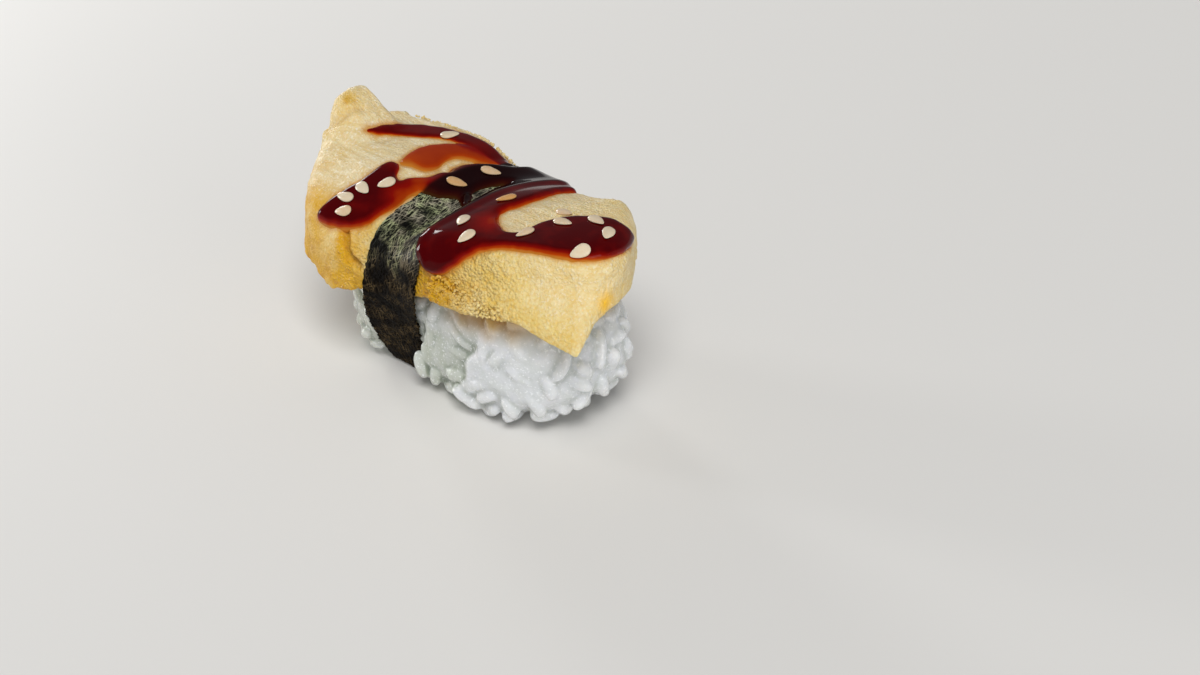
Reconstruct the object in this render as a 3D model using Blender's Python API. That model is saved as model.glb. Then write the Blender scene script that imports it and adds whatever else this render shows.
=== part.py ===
"""Tamago nigiri: a pillow of pressed rice, a thick slab of rolled omelette draped over it,
a nori band round both, and drips of thick sauce with sesame seeds on top.

Lengths are in millimetres up to `to_object`, which writes metres. +X runs along the slab,
-Y is its near side, and Z = 0 is the surface that the rice stands on.
"""

import math
import random

import bmesh
import bpy
import numpy as np
from mathutils import Matrix, Vector, noise
from mathutils.bvhtree import BVHTree

MM = 0.001
GAP = 0.3  # free space between touching pieces
SLAB_GAP = GAP + 0.1  # a little more between the rice and the slab's coarse facets
MERGE = 2e-6  # metres, for the slivers of a union
BOX_MIDDLE = (-1.8, 0.0)  # the middle of the whole in the modelling frame, moved to the origin

# The slab of omelette, measured flat before it is draped.
SLAB_LENGTH = 65.5
SLAB_WIDTH = 33.5
SLAB_THICKNESS = 10.5
SLAB_CELLS = (38, 19, 5)
SLAB_TOP_RADIUS = 4.0
SLAB_BOTTOM_RADIUS = 1.4
SLAB_SKEW = 0.38  # the ends are cut on the slant: X moved back for each unit of Y
SLAB_MIDDLE_X = -3.2
SLAB_UNDERSIDE_Z = 23.4
CORNER_ROUNDING = {"near_left": 0.37, "near_right": 0.14, "far_left": 0.95, "far_right": 0.5}
TOP_CORNER_ROUNDING = 0.85  # the near right corner is a sharp hem below and round above

# How the slab hangs: each is a height or a shift at its place, fading out around it.
SIDE_REACH = 16.0  # where the sag of a long side is full, measured from the middle
NEAR_EDGE_SAG = 1.0
FAR_EDGE_SAG = 1.6
LEFT_LOBE_SAG = 5.2
LEFT_CORNER_CURL = 5.6
RIGHT_TIP_SAG = 4.3
RIGHT_END_RISE = 1.0
RIGHT_SIDE_LEAN = 2.2
BAND_PINCH = 3.2
BAND_PINCH_REACH = 6.5
PINCH_BELOW = 0.35  # the share of the pinch that reaches the underside
FAR_PINCH_EASE = 0.35  # the share of it that is missing at the far side
FAR_LEFT_SAG = 1.9
FAR_RIGHT_SAG = 2.4
LEFT_LOBE_BULGE = 2.0
BAND_WAIST = 0.9
RIGHT_END_NARROWING = 3.0
RIGHT_END_BULGE = 1.3

# The rice pillow.
RICE_HALF_LENGTH = 26.2
RICE_HALF_WIDTH = 13.8
RICE_HALF_HEIGHT = 12.3
RICE_MIDDLE_Z = 11.3
RICE_MIDDLE_X = 0.1
RICE_SQUARENESS = 3.0
RICE_LEFT_SETTLE = 1.6  # the left end sits lower and fuller
RICE_RIGHT_LIFT = 1.6  # and the right end curves up more
RICE_CELLS = (20, 9, 7)
GRAIN_HALF_SIZE = (2.95, 1.4, 1.3)
GRAIN_SINK = 0.3
GRAIN_SINKS = (0.0, 0.5, 1.0)  # how much deeper a grain may lie where room is short
GRAIN_ROWS = 6
LOWEST_ROW, HIGHEST_ROW = -0.76, 0.74  # as shares of the pillow's half height
ROW_SCATTER = 0.6
ROUND_STEPS = 240
GRAIN_SPACING = 6.4
GRAIN_SEED = 7

# The nori band: where its middle runs along X, and its size.
BAND_WIDTH = 10.8
BAND_NEAR_SPREAD = 1.9  # its right edge bows out over the slab's near side
BAND_HEM_SLANT = 1.0  # and its left edge slants out towards the hem
BAND_FLOOR_WIDTH = 8.6
BAND_TWIST = 0.9  # over the rice its left edge stands out and its right edge lies deeper
BAND_THICKNESS = 0.4
BAND_TOP_X = -3.0
BAND_FAR_X = -0.5
BAND_NEAR_X = -3.9
BAND_FLOOR_NEAR_X = -10.0
BAND_FLOOR_FAR_X = -5.0
BAND_FLOOR_HALF_WIDTH = 7.4
BAND_CLEAR_OF_FLOOR = 0.35
BAND_LEAVES_SLAB_Z = 19.5
BAND_TUCK_HEIGHT = 1.4  # the rice is hollowed this high under the band
BAND_ACROSS = 7
BAND_FRAY = 0.35
FRAY_SIZE = 2.2

# Sauce: outlines seen from above, with the slab's sides and right end folded out flat.
SAUCE_DEPTH = 1.1
SAUCE_EDGE = 1.7
SAUCE_POOLS = {
    "streak": [(-27.4, -0.4), (-25.4, 8.6), (-22.4, 11.2), (-15.0, 13.8), (-7.7, 13.6),
               (-4.4, 11.8), (-8.5, 10.3), (-15.5, 9.1), (-18.4, 8.0), (-21.2, 5.4)],
    "film": [(-16.1, -2.9), (-17.6, 0.9), (-17.2, 5.8), (-13.0, 10.6), (-8.7, 12.5), (-7.3, 9.4),
             (-11.0, 6.0), (-11.8, 4.4), (-11.2, 0.8), (-12.3, -1.9)],
    "left": [(-22.2, -16.8), (-21.5, -13.9), (-18.6, -8.2), (-18.3, -5.1), (-16.7, -3.0),
             (-14.2, -5.4), (-12.0, -4.3), (-10.1, -2.0), (-7.0, -0.5), (-6.0, -3.5), (-9.0, -5.8),
             (-10.0, -11.2), (-11.8, -15.1), (-15.5, -16.7), (-20.9, -17.3)],
    "band": [(-10.1, -2.0), (-9.8, 3.2), (-8.6, 8.1), (-4.6, 13.0), (-3.4, 15.4), (3.4, 15.8),
             (8.0, 13.6), (3.7, 9.2), (-1.1, 7.7), (-3.9, 3.3), (-3.6, -0.6), (-5.6, -3.1),
             (-9.3, -4.7)],
    "right": [(5.8, -21.6), (3.8, -19.0), (1.8, -15.2), (1.0, -9.9), (0.0, -0.2), (-0.9, 7.6),
              (0.2, 10.5), (3.8, 13.6), (7.6, 12.0), (9.0, 4.6), (8.3, -2.8), (8.8, -4.8),
              (13.4, -7.7), (16.0, -5.7), (16.2, -2.7), (20.8, 3.7), (25.4, 5.7), (29.4, 6.7),
              (31.7, 3.2), (31.8, -1.6), (28.4, -6.7), (23.6, -9.4), (17.8, -11.6), (15.0, -13.0),
              (12.0, -16.3), (8.8, -20.5)],
}

# Sesame seeds seen from above: (x, y, heading of the tip in degrees).
SEED_HALF_SIZE = (1.6, 0.95, 0.5)
SEED_SINK = 0.15
SEEDS_ON_SLAB = [
    (-17.6, 9.7, 60), (-16.3, -10.7, -15), (-18.1, -13.0, -171), (-13.4, -8.2, -117),
    (-16.5, -14.9, -150), (6.1, -0.4, -121), (5.9, -9.7, -64), (10.2, -13.0, -99),
    (17.6, -7.5, -98), (20.0, -1.6, 11), (16.2, 2.5, 3), (23.6, 2.2, -8),
    (27.6, 0.6, -60), (27.9, -5.8, -98),
]
SEEDS_ON_BAND = [(-5.8, 0.0, 33), (-5.2, 7.0, 37)]


def smooth_step(start, end, value):
    """0 at start, 1 at end, with a soft start and end; start may be the larger one."""
    share = np.clip((value - start) / (end - start), 0.0, 1.0)
    return share * share * (3.0 - 2.0 * share)


def bell(middle, width, value):
    return np.exp(-(((value - middle) / width) ** 2))


# ---------------------------------------------------------------- the slab's drape


def corner_rounding(along, across, height):
    """How much the plan's corner is rounded, blended between the four corners."""
    right = smooth_step(-0.6, 0.6, along)
    far = smooth_step(-0.6, 0.6, across)
    near_right = CORNER_ROUNDING["near_right"]
    near_right = near_right + (TOP_CORNER_ROUNDING - near_right) * smooth_step(0.0, 0.6, height)
    near_side = CORNER_ROUNDING["near_left"] * (1 - right) + near_right * right
    far_side = CORNER_ROUNDING["far_left"] * (1 - right) + CORNER_ROUNDING["far_right"] * right
    return near_side * (1 - far) + far_side * far


def band_middle_x(y):
    """The band's middle on the slab: it swings left to the near side and right to the far one."""
    near = (BAND_NEAR_X - BAND_TOP_X) * smooth_step(-6.0, -17.0, y)
    return BAND_TOP_X + near + (BAND_FAR_X - BAND_TOP_X) * smooth_step(2.0, 17.0, y)


def band_half_width(side, b):
    """Half the band's width to its left (side < 0) or right, at b: y run on down the near side."""
    right = BAND_NEAR_SPREAD * bell(-20.0, 4.0, b)
    left = BAND_HEM_SLANT * smooth_step(-19.0, -25.0, b)
    return BAND_WIDTH / 2 + (right if side > 0 else left)


def beside_band(x, y, b):
    """How far a place on the slab lies beyond the band's edge."""
    offset = x - float(band_middle_x(y))
    return abs(offset) - float(band_half_width(offset, b))


def hang(x, y, height_share=0.0):
    """Height of the draped slab over a flat one, at a share of the slab's thickness."""
    near = np.clip(-y / SIDE_REACH, 0.0, 1.25) ** 2
    far = np.clip(y / SIDE_REACH, 0.0, 1.25) ** 2
    height = -NEAR_EDGE_SAG * near - FAR_EDGE_SAG * far
    height = height - LEFT_LOBE_SAG * near * smooth_step(8.0, -20.0, x)
    curl = smooth_step(-24.0, -35.5, x) * smooth_step(-4.5, 1.0, y) * smooth_step(8.8, 5.8, y)
    height = height + LEFT_CORNER_CURL * curl
    height = height - (FAR_LEFT_SAG * bell(-7.5, 4.5, x) + FAR_RIGHT_SAG * bell(8.0, 8.0, x)) * far
    height = height - RIGHT_TIP_SAG * near * smooth_step(21.0, 34.0, x)
    height = height + RIGHT_END_RISE * smooth_step(8.0, 24.0, x)
    squeeze = PINCH_BELOW + (1 - PINCH_BELOW) * height_share
    squeeze = squeeze * (1 - FAR_PINCH_EASE * smooth_step(4.0, 15.0, y))
    return height - BAND_PINCH * squeeze * bell(band_middle_x(y), BAND_PINCH_REACH, x)


def side_shift(x, side):
    """Outward shift of the long sides: a lobe left of the band, a waist in it, a narrow right end."""
    near = LEFT_LOBE_BULGE * bell(-18.0, 6.0, x) - BAND_WAIST * bell(-5.0, 5.0, x)
    near = near - RIGHT_END_NARROWING * smooth_step(10.0, 34.0, x)
    far = 0.8 * smooth_step(0.0, 20.0, x) - 0.7 * BAND_WAIST * bell(-4.0, 5.0, x)
    return np.where(side < 0, -near, far) * np.abs(side) ** 2


def drape(u, v, w):
    """A point of the flat slab (u along, v across, w above its underside), hung over the rice."""
    along = 2 * u / SLAB_LENGTH
    across = 2 * v / SLAB_WIDTH
    rounding = corner_rounding(along, across, w / SLAB_THICKNESS)
    u_round = u * np.sqrt(1 - rounding * np.clip(across, -1, 1) ** 2 / 2)
    v_round = v * np.sqrt(1 - rounding * np.clip(along, -1, 1) ** 2 / 2)
    x = u_round - SLAB_SKEW * v_round + SLAB_MIDDLE_X
    bulge = smooth_step(0.75, 1.0, along) * bell(2.0, 6.5, v_round)
    bulge = bulge * (1.25 - 0.25 * w / SLAB_THICKNESS)
    x = x + RIGHT_END_BULGE * bulge
    y = v_round + side_shift(x, np.clip(across, -1.1, 1.1))
    lean = RIGHT_SIDE_LEAN * smooth_step(0.0, 22.0, x) * np.clip(-across, 0, 1.1) ** 2
    y = y + lean * w / SLAB_THICKNESS
    return x, y, SLAB_UNDERSIDE_Z + w + hang(x, y, w / SLAB_THICKNESS)


# ---------------------------------------------------------------- shared mesh helpers


def gridded_block(size, cells):
    """A box about the origin, each face a grid of the given numbers of cells."""
    mesh = bmesh.new()
    bmesh.ops.create_cube(mesh, size=1.0, matrix=Matrix.Diagonal((*size, 1.0)))
    for axis, count in enumerate(cells):
        lines = []
        for edge in mesh.edges:
            run = edge.verts[1].co - edge.verts[0].co
            if abs(run[axis]) > 0.999 * run.length:
                lines.append(edge)
        bmesh.ops.subdivide_edges(mesh, edges=lines, cuts=count - 1, use_grid_fill=True)
    return mesh


def round_edges(mesh, size, radius_at):
    """Rounds the box's edges: radius_at gives the radius at a height share of -1 to 1."""
    half = Vector(size) / 2
    for vert in mesh.verts:
        radius = radius_at(vert.co.z / half.z)
        core = Vector(max(-h + radius, min(h - radius, c)) for c, h in zip(vert.co, half))
        vert.co = core + (vert.co - core).normalized() * radius


def to_object(mesh, name, colour=None, roughness=0.5):
    """Makes the named object from a bmesh in millimetres, with its own material if it has one."""
    bmesh.ops.triangulate(mesh, faces=mesh.faces)
    bmesh.ops.translate(mesh, vec=(-BOX_MIDDLE[0], -BOX_MIDDLE[1], 0.0), verts=mesh.verts)
    bmesh.ops.scale(mesh, vec=(MM, MM, MM), verts=mesh.verts)
    bmesh.ops.recalc_face_normals(mesh, faces=mesh.faces)
    data = bpy.data.meshes.new(name)
    mesh.to_mesh(data)
    mesh.free()
    data.shade_smooth()
    thing = bpy.data.objects.new(name, data)
    bpy.context.scene.collection.objects.link(thing)
    if colour:
        material = bpy.data.materials.new(name)
        material.use_nodes = True
        shader = material.node_tree.nodes["Principled BSDF"]
        shader.inputs["Base Color"].default_value = (*colour, 1.0)
        shader.inputs["Roughness"].default_value = roughness
        shader.inputs["Metallic"].default_value = 0.0
        data.materials.append(material)
    return thing


def fuse(base, pieces):
    """Joins the pieces to the base with one union, then removes them."""
    group = bpy.data.collections.new(base.name + "_pieces")
    bpy.context.scene.collection.children.link(group)
    for piece in pieces:
        bpy.context.scene.collection.objects.unlink(piece)
        group.objects.link(piece)
    union = base.modifiers.new("fuse", "BOOLEAN")
    union.operation = "UNION"
    union.operand_type = "COLLECTION"
    union.collection = group
    union.solver = "MANIFOLD"
    graph = bpy.context.evaluated_depsgraph_get()
    joined = bpy.data.meshes.new_from_object(base.evaluated_get(graph))
    base.modifiers.clear()
    base.data = joined
    base.data.name = base.name
    keep_largest_shell(base.data)
    for piece in pieces:
        bpy.data.objects.remove(piece)
    bpy.data.collections.remove(group)


def keep_largest_shell(data):
    """Drops sealed hollows and loose scraps that a union leaves."""
    mesh = bmesh.new()
    mesh.from_mesh(data)
    bmesh.ops.remove_doubles(mesh, verts=mesh.verts, dist=MERGE)
    bmesh.ops.triangulate(mesh, faces=mesh.faces)
    left = set(mesh.verts)
    shells = []
    while left:
        shell = {left.pop()}
        border = list(shell)
        while border:
            for edge in border.pop().link_edges:
                for vert in edge.verts:
                    if vert in left:
                        left.discard(vert)
                        shell.add(vert)
                        border.append(vert)
        shells.append(shell)
    largest = max(shells, key=len)
    scraps = [vert for shell in shells if shell is not largest for vert in shell]
    bmesh.ops.delete(mesh, geom=scraps, context="VERTS")
    mesh.to_mesh(data)
    mesh.free()
    data.shade_smooth()


# ---------------------------------------------------------------- sauce


def closed_curve(points, steps=6):
    """A smooth closed curve through the points, as a Catmull-Rom spline."""
    knots = np.array(points, float)
    before, after, later = (np.roll(knots, shift, axis=0) for shift in (1, -1, -2))
    curve = []
    for t in np.arange(steps) / steps:
        bend = 2 * before - 5 * knots + 4 * after - later
        twist = 3 * knots - before - 3 * after + later
        curve.append(0.5 * (2 * knots + t * (after - before) + t * t * bend + t**3 * twist))
    return np.stack(curve, axis=1).reshape(-1, 2)


def depth_inside(curve, x, b):
    """How far a point lies inside the closed curve, or 0 outside it."""
    ends = np.roll(curve, -1, axis=0)
    run = ends - curve
    offset = np.array((x, b)) - curve
    share = np.clip((offset * run).sum(1) / (run * run).sum(1), 0.0, 1.0)
    distance = np.hypot(*(offset - share[:, None] * run).T).min()
    crossed = (curve[:, 1] > b) != (ends[:, 1] > b)
    rise = np.where(crossed, run[:, 1], 1.0)
    left = x < curve[:, 0] + (b - curve[:, 1]) / rise * run[:, 0]
    return distance if np.count_nonzero(crossed & left) % 2 else 0.0


def sauce_depth(curves, x, b):
    """Thickness of the sauce: flat in the middle of a pool, with a round edge."""
    inside = max(depth_inside(curve, x, b) for curve in curves)
    share = min(1.0, inside / SAUCE_EDGE)
    return SAUCE_DEPTH * math.sqrt(1.0 - (1.0 - share) ** 2)


def unrolled(point, normal):
    """x and y of a point on the slab, with its sides and right end folded out flat."""
    x, y, z = point
    drop = max(0.0, float(SLAB_UNDERSIDE_Z + SLAB_THICKNESS + hang(x, y, 1.0)) - z)
    if normal.x > abs(normal.y):
        return x + drop, y
    return x, y + math.copysign(drop, normal.y)


def raise_sauce(mesh, pools, keep_clear):
    """Lifts the surface by the sauce's thickness; keep_clear scales it down to 0 near the band."""
    curves = [closed_curve(SAUCE_POOLS[pool]) for pool in pools]
    mesh.normal_update()
    for vert in mesh.verts:
        if vert.normal.z < -0.2 or vert.normal.y > 0.9:
            continue
        a, b = unrolled(vert.co, vert.normal)
        depth = sauce_depth(curves, a, b)
        vert.co += vert.normal * depth * keep_clear(vert.co.x, vert.co.y, b)


# ---------------------------------------------------------------- sesame


def make_seed(spot, normal, heading):
    """One sesame seed: a drop-shaped bead lying on the surface, its tip along the heading."""
    mesh = bmesh.new()
    bmesh.ops.create_uvsphere(mesh, u_segments=6, v_segments=4, radius=1.0)
    long, wide, high = SEED_HALF_SIZE
    for vert in mesh.verts:
        vert.co.y *= 1.0 - 0.3 * vert.co.x
        vert.co = Vector((vert.co.x * long, vert.co.y * wide, vert.co.z * high))
    tip = Vector((math.cos(math.radians(heading)), math.sin(math.radians(heading)), 0.0))
    tip = (tip - normal * tip.dot(normal)).normalized()
    facing = Matrix((tip, normal.cross(tip), normal)).transposed().to_4x4()
    place = Matrix.Translation(spot + normal * (high - SEED_SINK))
    bmesh.ops.transform(mesh, matrix=place @ facing, verts=mesh.verts)
    return to_object(mesh, "seed")


def drop_seeds(surface, seeds):
    """Seeds lying where a straight fall meets the surface."""
    tree = BVHTree.FromBMesh(surface)
    made = []
    for x, y, heading in seeds:
        spot, normal, _, _ = tree.ray_cast(Vector((x, y, 100.0)), Vector((0.0, 0.0, -1.0)))
        made.append(make_seed(spot, normal, heading))
    return made


# ---------------------------------------------------------------- tamago


def slab_radius(height_share):
    reach = SLAB_TOP_RADIUS - SLAB_BOTTOM_RADIUS
    return SLAB_BOTTOM_RADIUS + reach * smooth_step(-1.0, 0.6, height_share)


def clear_of_band(x, y, b):
    return float(smooth_step(1.7, 3.2, beside_band(x, y, b)))


def make_tamago():
    size = (SLAB_LENGTH, SLAB_WIDTH, SLAB_THICKNESS)
    mesh = gridded_block(size, SLAB_CELLS)
    round_edges(mesh, size, slab_radius)
    for vert in mesh.verts:
        u, v, w = vert.co
        vert.co = drape(u, v, w + SLAB_THICKNESS / 2)
    raise_sauce(mesh, ("streak", "film", "left", "right"), clear_of_band)
    seeds = drop_seeds(mesh, SEEDS_ON_SLAB)
    tamago = to_object(mesh, "tamago", (0.78, 0.55, 0.17), 0.5)
    fuse(tamago, seeds)


# ---------------------------------------------------------------- nori


def band_section():
    """The band's path round the flat slab, as (v, w) from the near side over the top."""
    off = GAP + BAND_THICKNESS / 2 + 0.05
    side = SLAB_WIDTH / 2 + off
    top = SLAB_THICKNESS + off
    radius = SLAB_TOP_RADIUS + off
    path = [(-side, w) for w in np.linspace(0.6, top - radius, 5)]
    for angle in np.radians(np.linspace(0, 90, 6))[1:]:
        across = radius * math.cos(angle)
        path.append((-side + radius - across, top - radius + radius * math.sin(angle)))
    path += [(v, top) for v in np.linspace(-side + radius, 0.0, 8)[1:]]
    return path + [(-v, w) for v, w in reversed(path[:-1])]


def band_point(v, w, across):
    """A point of the band's middle surface where it lies on the slab."""
    drop = max(0.0, SLAB_THICKNESS - w) if v < 0 else 0.0
    u = float(band_middle_x(v)) - SLAB_MIDDLE_X + SLAB_SKEW * float(v)
    for _ in range(9):
        x, y, _ = drape(u, v, w)
        reach = across * band_half_width(across, y - drop)
        u -= float(x) - (float(band_middle_x(y)) + float(reach))
    return Vector(float(c) for c in drape(u, v, w))


def band_swing(share):
    """How much of its sideways way to the foot the band has gone, by the share of its fall."""
    return 1.0 - (1.0 - share) ** 2


def band_foot(side, across):
    """Where the band turns under the rice: side is -1 near and 1 far."""
    middle = BAND_FLOOR_NEAR_X if side < 0 else BAND_FLOOR_FAR_X
    x = middle + across * BAND_FLOOR_WIDTH / 2
    return Vector((x, side * BAND_FLOOR_HALF_WIDTH, BAND_CLEAR_OF_FLOOR + BAND_THICKNESS / 2))


def stretch(start, end, steps):
    """Points from start to end, both left out."""
    return [start.lerp(end, share) for share in np.linspace(0, 1, steps + 1)[1:-1]]


def band_fall(edge, foot, across, steps):
    """Points from the slab's edge down to the foot: the band soon swings and narrows."""
    points = []
    for share in np.linspace(0, 1, steps + 1)[1:-1]:
        point = edge.lerp(foot, share)
        point.x = edge.x + (foot.x - edge.x) * band_swing(share)
        out = -1.0 if foot.y < 0 else 1.0
        point.y -= out * BAND_TWIST * across * math.sin(math.pi * share)
        points.append(point)
    return points


def band_ring(across):
    """The band's closed path at one place across its width."""
    ring = [band_point(v, w, across) for v, w in band_section()]
    far_foot = band_foot(1, across)
    near_foot = band_foot(-1, across)
    ring += band_fall(ring[-1], far_foot, across, 10) + [far_foot]
    ring += stretch(far_foot, near_foot, 6) + [near_foot]
    return ring + list(reversed(band_fall(ring[0], near_foot, across, 10)))


def make_nori():
    across = np.linspace(-1, 1, BAND_ACROSS + 1)
    rings = [band_ring(share) for share in across]
    count = len(rings[0])
    mesh = bmesh.new()
    outer, inner = [], []
    for i, ring in enumerate(rings):
        beside = rings[min(i + 1, BAND_ACROSS)], rings[max(i - 1, 0)]
        for n, point in enumerate(ring):
            along = ring[(n + 1) % count] - ring[n - 1]
            normal = (beside[0][n] - beside[1][n]).cross(along).normalized()
            if abs(across[i]) == 1.0:
                fray = BAND_FRAY * noise.noise(Vector((9 * point.x, point.y, point.z)) / FRAY_SIZE)
                point = point + Vector((fray, 0.0, 0.0))
            outer.append(mesh.verts.new(point + normal * BAND_THICKNESS / 2))
            inner.append(mesh.verts.new(point - normal * BAND_THICKNESS / 2))
    for i in range(BAND_ACROSS):
        for n in range(count):
            a, b = i * count + n, i * count + (n + 1) % count
            for face in ((a, b, b + count), (a, b + count, a + count)):
                mesh.faces.new([outer[k] for k in face])
                mesh.faces.new([inner[k] for k in reversed(face)])
    for i, flip in ((0, False), (BAND_ACROSS, True)):
        for n in range(count):
            a, b = i * count + n, i * count + (n + 1) % count
            wall = [outer[a], inner[a], inner[b], outer[b]]
            mesh.faces.new(reversed(wall) if flip else wall)
    bmesh.ops.recalc_face_normals(mesh, faces=mesh.faces)
    for vert, lift in zip(outer, pool_lifts(mesh, outer)):
        vert.co += lift
    seeds = drop_seeds(mesh, SEEDS_ON_BAND)
    nori = to_object(mesh, "nori", (0.012, 0.02, 0.012), 0.45)
    fuse(nori, seeds)


def pool_lifts(mesh, verts):
    """The lift that the sauce gives each point of the band's outer face."""
    curves = [closed_curve(SAUCE_POOLS[pool]) for pool in SAUCE_POOLS]
    mesh.normal_update()
    lifts = []
    for vert in verts:
        a, b = unrolled(vert.co, vert.normal)
        edge = float(smooth_step(0.2, -1.6, beside_band(vert.co.x, vert.co.y, b)))
        on_top = vert.co.z > SLAB_UNDERSIDE_Z
        depth = sauce_depth(curves, a, b) * edge if on_top else 0.0
        lifts.append(vert.normal * depth)
    return lifts


# ---------------------------------------------------------------- rice


def underside_z(x, y):
    """The slab's underside over the rice, for the rice to stop below."""
    return SLAB_UNDERSIDE_Z + float(hang(x, y))


def band_half_gap(z):
    """Half the distance between the band's two sides at a height, at its middle surface."""
    share = min(1.0, max(0.0, z / BAND_LEAVES_SLAB_Z))
    return BAND_FLOOR_HALF_WIDTH + (SLAB_WIDTH / 2 - 0.6 - BAND_FLOOR_HALF_WIDTH) * share


def band_near(x, y, z):
    """1 in the band's strip over the rice, 0 well beside it."""
    share = band_swing(min(1.0, max(0.0, 1 - z / BAND_LEAVES_SLAB_Z)))
    floor_x = BAND_FLOOR_NEAR_X if y < 0 else BAND_FLOOR_FAR_X
    edge_x = BAND_NEAR_X if y < 0 else BAND_FAR_X
    middle = edge_x + (floor_x - edge_x) * share
    half = (BAND_WIDTH + (BAND_FLOOR_WIDTH - BAND_WIDTH) * share) / 2
    return float(smooth_step(half + 4.8, half + 2.3, abs(x - middle)))


def limit_y(x, y, z):
    """How far out the rice may reach at this place, because of the band."""
    free = RICE_HALF_WIDTH + 10.0
    held = band_half_gap(z) - BAND_THICKNESS / 2 - BAND_TWIST - 2 * GAP
    return free + (held - free) * band_near(x, y, z)


def floor_hollow(x, y):
    """Height of the rice's underside, hollowed where the band passes below."""
    share = min(1.0, max(0.0, (y / BAND_FLOOR_HALF_WIDTH + 1) / 2))
    middle = BAND_FLOOR_NEAR_X + (BAND_FLOOR_FAR_X - BAND_FLOOR_NEAR_X) * share
    beside = abs(x - middle) - BAND_FLOOR_WIDTH / 2
    return BAND_TUCK_HEIGHT * float(smooth_step(4.2, 1.4, beside))


def rice_point(direction):
    """The bare core's surface in a direction given on the unit cube."""
    power = RICE_SQUARENESS
    length = sum(abs(c) ** power for c in direction) ** (1 / power)
    a, b, c = direction / length
    x = RICE_MIDDLE_X + RICE_HALF_LENGTH * a
    y = RICE_HALF_WIDTH * b
    settle = RICE_LEFT_SETTLE * float(smooth_step(-6.0, -24.0, x))
    lift = RICE_RIGHT_LIFT * float(smooth_step(6.0, 24.0, x))
    z = max(0.0, RICE_MIDDLE_Z + RICE_HALF_HEIGHT * c + (lift - settle) * max(0.0, -c))
    limit = limit_y(x, y, z)
    y = min(limit, max(-limit, y))
    z = max(z, floor_hollow(x, y))
    return Vector((x, y, min(z, underside_z(x, y) - SLAB_GAP)))


def grain_fits(corners):
    """Whether a grain stays over the floor, under the slab and inside the band."""
    for x, y, z in corners:
        too_low = z < 0.1 + floor_hollow(x, y)
        too_high = z > underside_z(x, y) - SLAB_GAP
        if too_low or too_high or abs(y) > limit_y(x, y, z):
            return False
    return True


def make_grain(spot, normal, turn, tilt):
    """One cooked grain lying on the core, or None where there is no room for it."""
    mesh = bmesh.new()
    bmesh.ops.create_uvsphere(mesh, u_segments=5, v_segments=4, radius=1.0)
    lying = Matrix.Rotation(math.radians(90), 4, "Y")
    shape = Matrix.Diagonal((*GRAIN_HALF_SIZE, 1.0))
    turned = Matrix.Rotation(turn, 4, "Z") @ Matrix.Rotation(tilt, 4, "Y")
    facing = normal.to_track_quat("Z", "Y").to_matrix().to_4x4()
    bmesh.ops.transform(mesh, matrix=facing @ turned @ shape @ lying, verts=mesh.verts)
    for sink in GRAIN_SINKS:
        place = spot - normal * sink
        if grain_fits([vert.co + place for vert in mesh.verts]):
            bmesh.ops.translate(mesh, vec=place, verts=mesh.verts)
            return to_object(mesh, "grain")
    mesh.free()
    return None


def make_grains():
    """Grains in rows round the pillow, each turned its own way."""
    draw = random.Random(GRAIN_SEED)
    grains = []
    for row, height in enumerate(np.linspace(LOWEST_ROW, HIGHEST_ROW, GRAIN_ROWS)):
        turns = np.linspace(0, 2 * math.pi, ROUND_STEPS + 1)
        around = [rice_direction(angle, height) for angle in turns]
        points = [rice_point(direction) for direction in around]
        steps = [(b - a).length for a, b in zip(points, points[1:])]
        travelled = np.concatenate([[0.0], np.cumsum(steps)])
        count = round(travelled[-1] / GRAIN_SPACING)
        for n in range(count):
            place = (n + 0.5 * (row % 2) + draw.uniform(-0.25, 0.25)) / count % 1.0
            index = int(np.searchsorted(travelled, place * travelled[-1])) % ROUND_STEPS
            normal = rice_normal(around[index])
            spot = points[index] - normal * GRAIN_SINK
            spot.z += draw.uniform(-ROW_SCATTER, ROW_SCATTER)
            grain = make_grain(spot, normal, draw.uniform(0, math.pi), draw.uniform(-0.3, 0.3))
            if grain:
                grains.append(grain)
    return grains


def rice_direction(angle, height):
    """A direction on the pillow's rounded surface at a height share of -1 to 1."""
    power = RICE_SQUARENESS
    level = (1 - abs(height) ** power) ** (1 / power)
    a, b = math.cos(angle), math.sin(angle)
    size = (abs(a) ** power + abs(b) ** power) ** (1 / power)
    return Vector((level * a / size, level * b / size, height))


def rice_normal(direction):
    """The pillow's outward normal in a direction from its middle."""
    half_size = (RICE_HALF_LENGTH, RICE_HALF_WIDTH, RICE_HALF_HEIGHT)
    slope = [abs(c) ** (RICE_SQUARENESS - 1) / half for c, half in zip(direction, half_size)]
    return Vector(math.copysign(s, c) for s, c in zip(slope, direction)).normalized()


def make_rice():
    mesh = gridded_block((2, 2, 2), RICE_CELLS)
    for vert in mesh.verts:
        vert.co = rice_point(vert.co)
    rice = to_object(mesh, "rice", (0.83, 0.84, 0.8), 0.35)
    fuse(rice, make_grains())


def main():
    for thing in list(bpy.data.objects):
        bpy.data.objects.remove(thing)
    make_tamago()
    make_nori()
    make_rice()


main()
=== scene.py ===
"""The look of a tamago nigiri: a draped slab of rolled omelette with thick sauce and sesame
seeds, a nori band round it, and the pressed rice below.

Shapes are worked out in millimetres in the slab's own frame, where +X runs along the slab and
-Y is its near side. `new_mesh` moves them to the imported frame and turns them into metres.
The numbers handed to `smooth_step` and `bell` are places and widths in that frame.
"""

import math
import random

import bmesh
import bpy
import numpy as np
from bpy.props import FloatProperty, FloatVectorProperty, IntProperty, PointerProperty
from mathutils import Euler, Matrix, Vector, noise
from mathutils.bvhtree import BVHTree


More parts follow.
